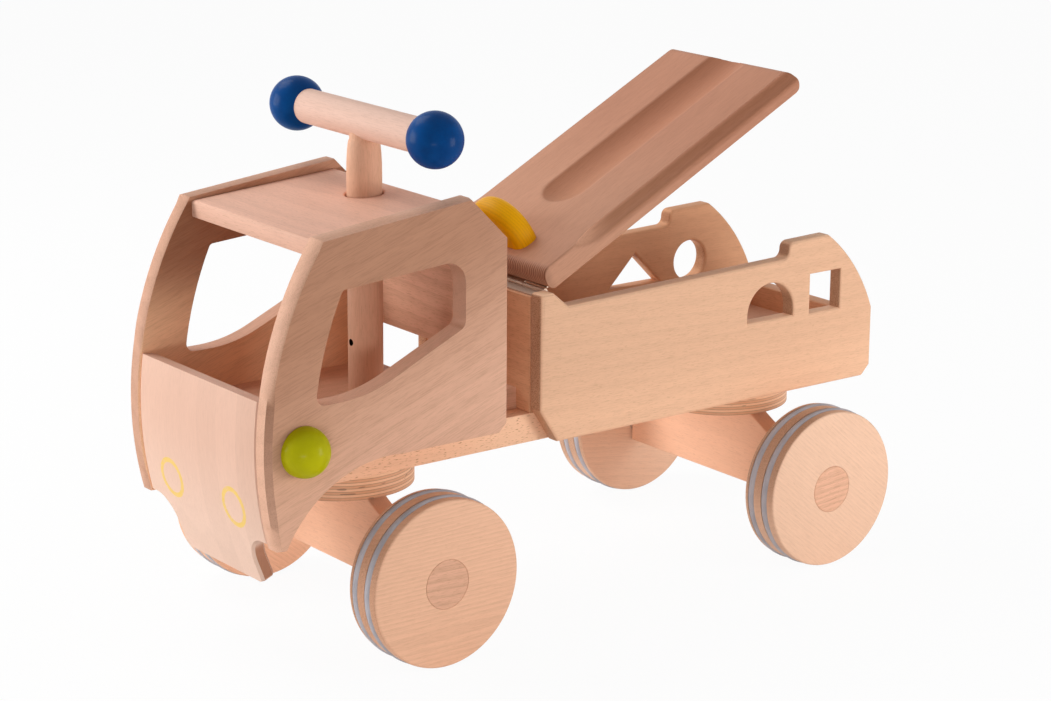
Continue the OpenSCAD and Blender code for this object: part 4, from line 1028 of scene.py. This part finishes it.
def lid_mesh():
    """A grid over the lid, s behind its front end and y across, with an upper and a lower sheet. The upper
    one is the lowest of the bull-nosed board, the hollow, a round of radius R = (w^2 + d^2) / 2d with a
    ball end, and the two coves; columns crowd between the cove's brink and the edge."""
    turn = np.linspace(0, np.pi / 2, NOSE_STEPS)
    straight = np.linspace(NOSE_R, LID_L - NOSE_R, LID_ROWS)[1:-1]
    s = joined(NOSE_R * (1 - np.cos(turn)), straight, LID_L - NOSE_R * (1 - np.sin(turn)))
    brink = brink_of(lambda y: in_cove(s, y, LID_T), np.zeros(len(s)), LID_HALF)
    brink = np.minimum(brink, LID_HALF - LID_EDGE)[:, None]
    crowd = (1 - np.cos(np.linspace(0, np.pi, COVE_COLUMNS))) / 2
    middle = brink * np.linspace(-1, 1, LID_COLUMNS)[None, 1:-1]
    outer = brink + (LID_HALF - brink) * crowd[None]
    y = np.concatenate([-outer[:, ::-1], middle, outer], 1)
    rows, n = y.shape
    s = np.repeat(s[:, None], n, 1)
    board = LID_T - round_off(np.minimum(s, LID_L - s), NOSE_R)
    radius = (SCOOP_HALF**2 + SCOOP_DEPTH**2) / (2 * SCOOP_DEPTH)
    ahead = np.maximum(SCOOP_START + SCOOP_HALF - s, 0)
    scoop = LID_T - SCOOP_DEPTH + radius - np.sqrt(np.maximum(radius**2 - y**2 - ahead**2, 0))
    cove = brink_of(lambda h: in_cove(s, np.abs(y), h), np.zeros(s.shape), np.full(s.shape, LID_T))
    inward = LID_HALF - np.abs(y)
    upper = np.minimum(np.minimum(board, scoop), cove) - round_off(inward, LID_EDGE)
    lower = np.maximum(LID_T - board, round_off(inward, LID_EDGE_LOW))
    sheets = [on_lid(LID_FRONT - s, y, LID_LIFT + h).reshape(-1, 3) for h in (upper, lower)]
    sheet = net_faces(rows, n).reshape(-1, n, 4)[:, :-1].reshape(-1, 4)
    m = rows * n

    def rim_faces(path):
        return np.stack([path[:-1], path[1:], m + path[1:], m + path[:-1]], 1)

    a, b = np.arange(n), np.arange(rows) * n
    edges = [rim_faces(path) for path in (a[::-1], b, (rows - 1) * n + a, (b + n - 1)[::-1])]
    return np.concatenate(sheets), [sheet, m + sheet[:, ::-1], *edges]


lid_turn = (0, -LID_OPEN, 0)
lid_origin_x = lid_sin * HINGE_Z - lid_cos * HINGE_X
lid_origin_z = -lid_sin * HINGE_X - lid_cos * HINGE_Z
lid_origin = (lid_origin_x * MM, 0, lid_origin_z * MM)
NOSE_LINE, NOSE_BROWN = 0.0024, rgb(104, 64, 46)
LID_LIT_FRONT, LID_SHADED_REAR = (1.0, 1.07, 1.08, 1), (0.89, 0.87, 0.86, 1)
SCOOP_FAR_SHADED, SCOOP_NEAR_LIT = (0.70, 0.58, 0.49, 1), (0.88, 0.79, 0.71, 1)
COVE_SHADED_DEEP, COVE_LIT_EDGE, LID_SIDE_SHADE = (0.60, 0.52, 0.45, 1), (0.84, 0.78, 0.72, 1), (0.84, 0.82, 0.80, 1)


def nose_lines(place):
    """End grain on the bull-nose: dark lines across the front edge that fade where the flat top begins."""
    lid = place.mapped(lid_turn, lid_origin)
    behind = LID_FRONT * MM - lid.axis("X")
    line = (lid.axis("Y") / NOSE_LINE + lid.noise((30, 200, 30)) * 0.9).math("FRACT")
    stripe = line.step(0.2, 0.5) * (1 - line.step(0.8, 0.98)) * 0.6 + 0.3
    return stripe * (1 - behind.step(0.002, 0.010)) * 0.8, NOSE_BROWN


def lid_painted_shade(place):
    """The hollows, cut across the fibres, are darker than the planed top, partly for the cut fibres and
    partly as painted shade, and each is paler towards its near or outer side, painted light and shade; the
    board darkens a little towards its rear end and on its sides, painted shade."""
    lid = place.mapped(lid_turn, lid_origin)
    y = lid.axis("Y").math("ABSOLUTE")
    behind = LID_FRONT * MM - lid.axis("X")
    ahead = ((SCOOP_START + SCOOP_HALF) * MM - behind).math("MAXIMUM", 0.0)
    scoop_half, brink, half = SCOOP_HALF * MM, (LID_HALF - COVE_IN) * MM, LID_HALF * MM
    scoop = 1 - ((y**2.0 + ahead**2.0) ** 0.5).step(scoop_half * 0.88, scoop_half)
    cove = y.step(brink - 0.001, brink + 0.001) * behind.step((COVE_START + 4) * MM, (COVE_START + 45) * MM)
    upper = lid.axis("Z").step(0.008, 0.012)
    # painted shade: darker towards the rear, on the hollow's far side, in the coves and on the sides
    lengthwise_shade = behind.step(0.05, 0.22).blend(LID_LIT_FRONT, LID_SHADED_REAR)
    scoop_tone_and_shade = lid.axis("Y").step(-scoop_half, scoop_half).blend(SCOOP_FAR_SHADED, SCOOP_NEAR_LIT)
    tone = (scoop * upper).blend(WHITE, scoop_tone_and_shade)
    tone = (cove * upper).blend(tone, y.step(brink, half).blend(COVE_SHADED_DEEP, COVE_LIT_EDGE))
    side = y.step(half - 0.0025, half - 0.0005)
    return lengthwise_shade.times(tone).times(side.blend(WHITE, LID_SIDE_SHADE))


lid_look = dict(spread=0.12, rings=0.15, streaks=0.35, flecks=0.12, ends=0.3)
lid_lay = dict(turn=lid_turn, start=lid_origin, pith=(0.02, 0.6), ring=0.008)
lid_beech = beech("beech_lid", rgb(208, 150, 122), mark=nose_lines, cast=lid_painted_shade, **lid_look, **lid_lay)
add_piece("seat_lid_board", *lid_mesh(), lid_beech, "lid", "seat_lid")


# Pommel: a half-round of amber-stained wood that stands across the lid in front of the seat,
# its rim well rounded; hidden beech pegs hold it.

POMMEL_R, POMMEL_T, POMMEL_EDGE, POMMEL_BACK = 36.0, 22.4, 9.0, 25.5
POMMEL_CORE = 0.01


def pommel_mesh(steps=64):
    """Half a turn of a flat section with a rounded rim about a lengthwise axis: (x, r cos t, r sin t)."""
    flat, core = POMMEL_T / 2 - POMMEL_EDGE, POMMEL_R - POMMEL_EDGE
    section = joined(
        [[POMMEL_CORE, -POMMEL_T / 2]],
        arc((core, -flat), POMMEL_EDGE, -90, 0, 8),
        arc((core, flat), POMMEL_EDGE, 0, 90, 8),
        [[POMMEL_CORE, POMMEL_T / 2]],
    )
    t = np.linspace(0, np.pi, steps + 1)[:, None]
    r, x = section.T
    n = len(section)
    x = LID_FRONT - POMMEL_BACK + np.repeat(x[None], steps + 1, 0)
    points = on_lid(x, r * np.cos(t), LID_LIFT + LID_T + r * np.sin(t))
    ends = [np.arange(n)[None, ::-1], steps * n + np.arange(n)[None]]
    return points.reshape(-1, 3), [net_faces(steps + 1, n), *ends]


stain_lay = dict(turn=(0, np.radians(90) - LID_OPEN, 0), pith=(0.0, 0.25), ring=0.0024)
stain_look = dict(rings=0.35, streaks=0.2, flecks=0.05, ends=0.0, rough=0.42)
amber_stain = beech("amber_stained_wood", rgb(246, 178, 6), **stain_lay, **stain_look)
add_piece("lid_pommel", *pommel_mesh(), amber_stain, "lid", "pommel")


# Fittings: hinge, axle rods, caps, washers, pins and screws are lightly brushed steel;
# the hidden dowels and pegs and the column's washer are plain beech.


def steel(name, shade, glint):
    """Brushed steel: noise drawn out along Y shifts roughness and shade a little."""
    material, shader, place = new_finish(name)
    brush = place.noise((900, 30, 900), 3)
    fill(shader, {"Base Color": brush.blend(shade, glint), "Roughness": brush * 0.2 + 0.5, "Metallic": 1.0})
    return material


bright_steel = steel("bright_steel", rgb(190, 166, 148), rgb(214, 192, 174))
hidden_beech = beech("beech_dowels", rgb(212, 166, 138), turn=CROSS_GRAIN)
hinge_names = ("leaf_fixed", "leaf_moving", "pin", "screws_fixed", "screws_moving")
axle_names = ("axle", "axle_caps", "washers", "disc_screws")
hinge_nodes = ["hinge_" + name for name in hinge_names]
axle_nodes = [end + "_" + name for end in ("front", "rear") for name in axle_names]
for name in (*hinge_nodes, *axle_nodes, "column_pin"):
    set_finish(node_object[name], bright_steel)
for name in ("cab_dowels", "box_dowels", "pommel_pegs", "column_washer"):
    set_finish(node_object[name], hidden_beech)
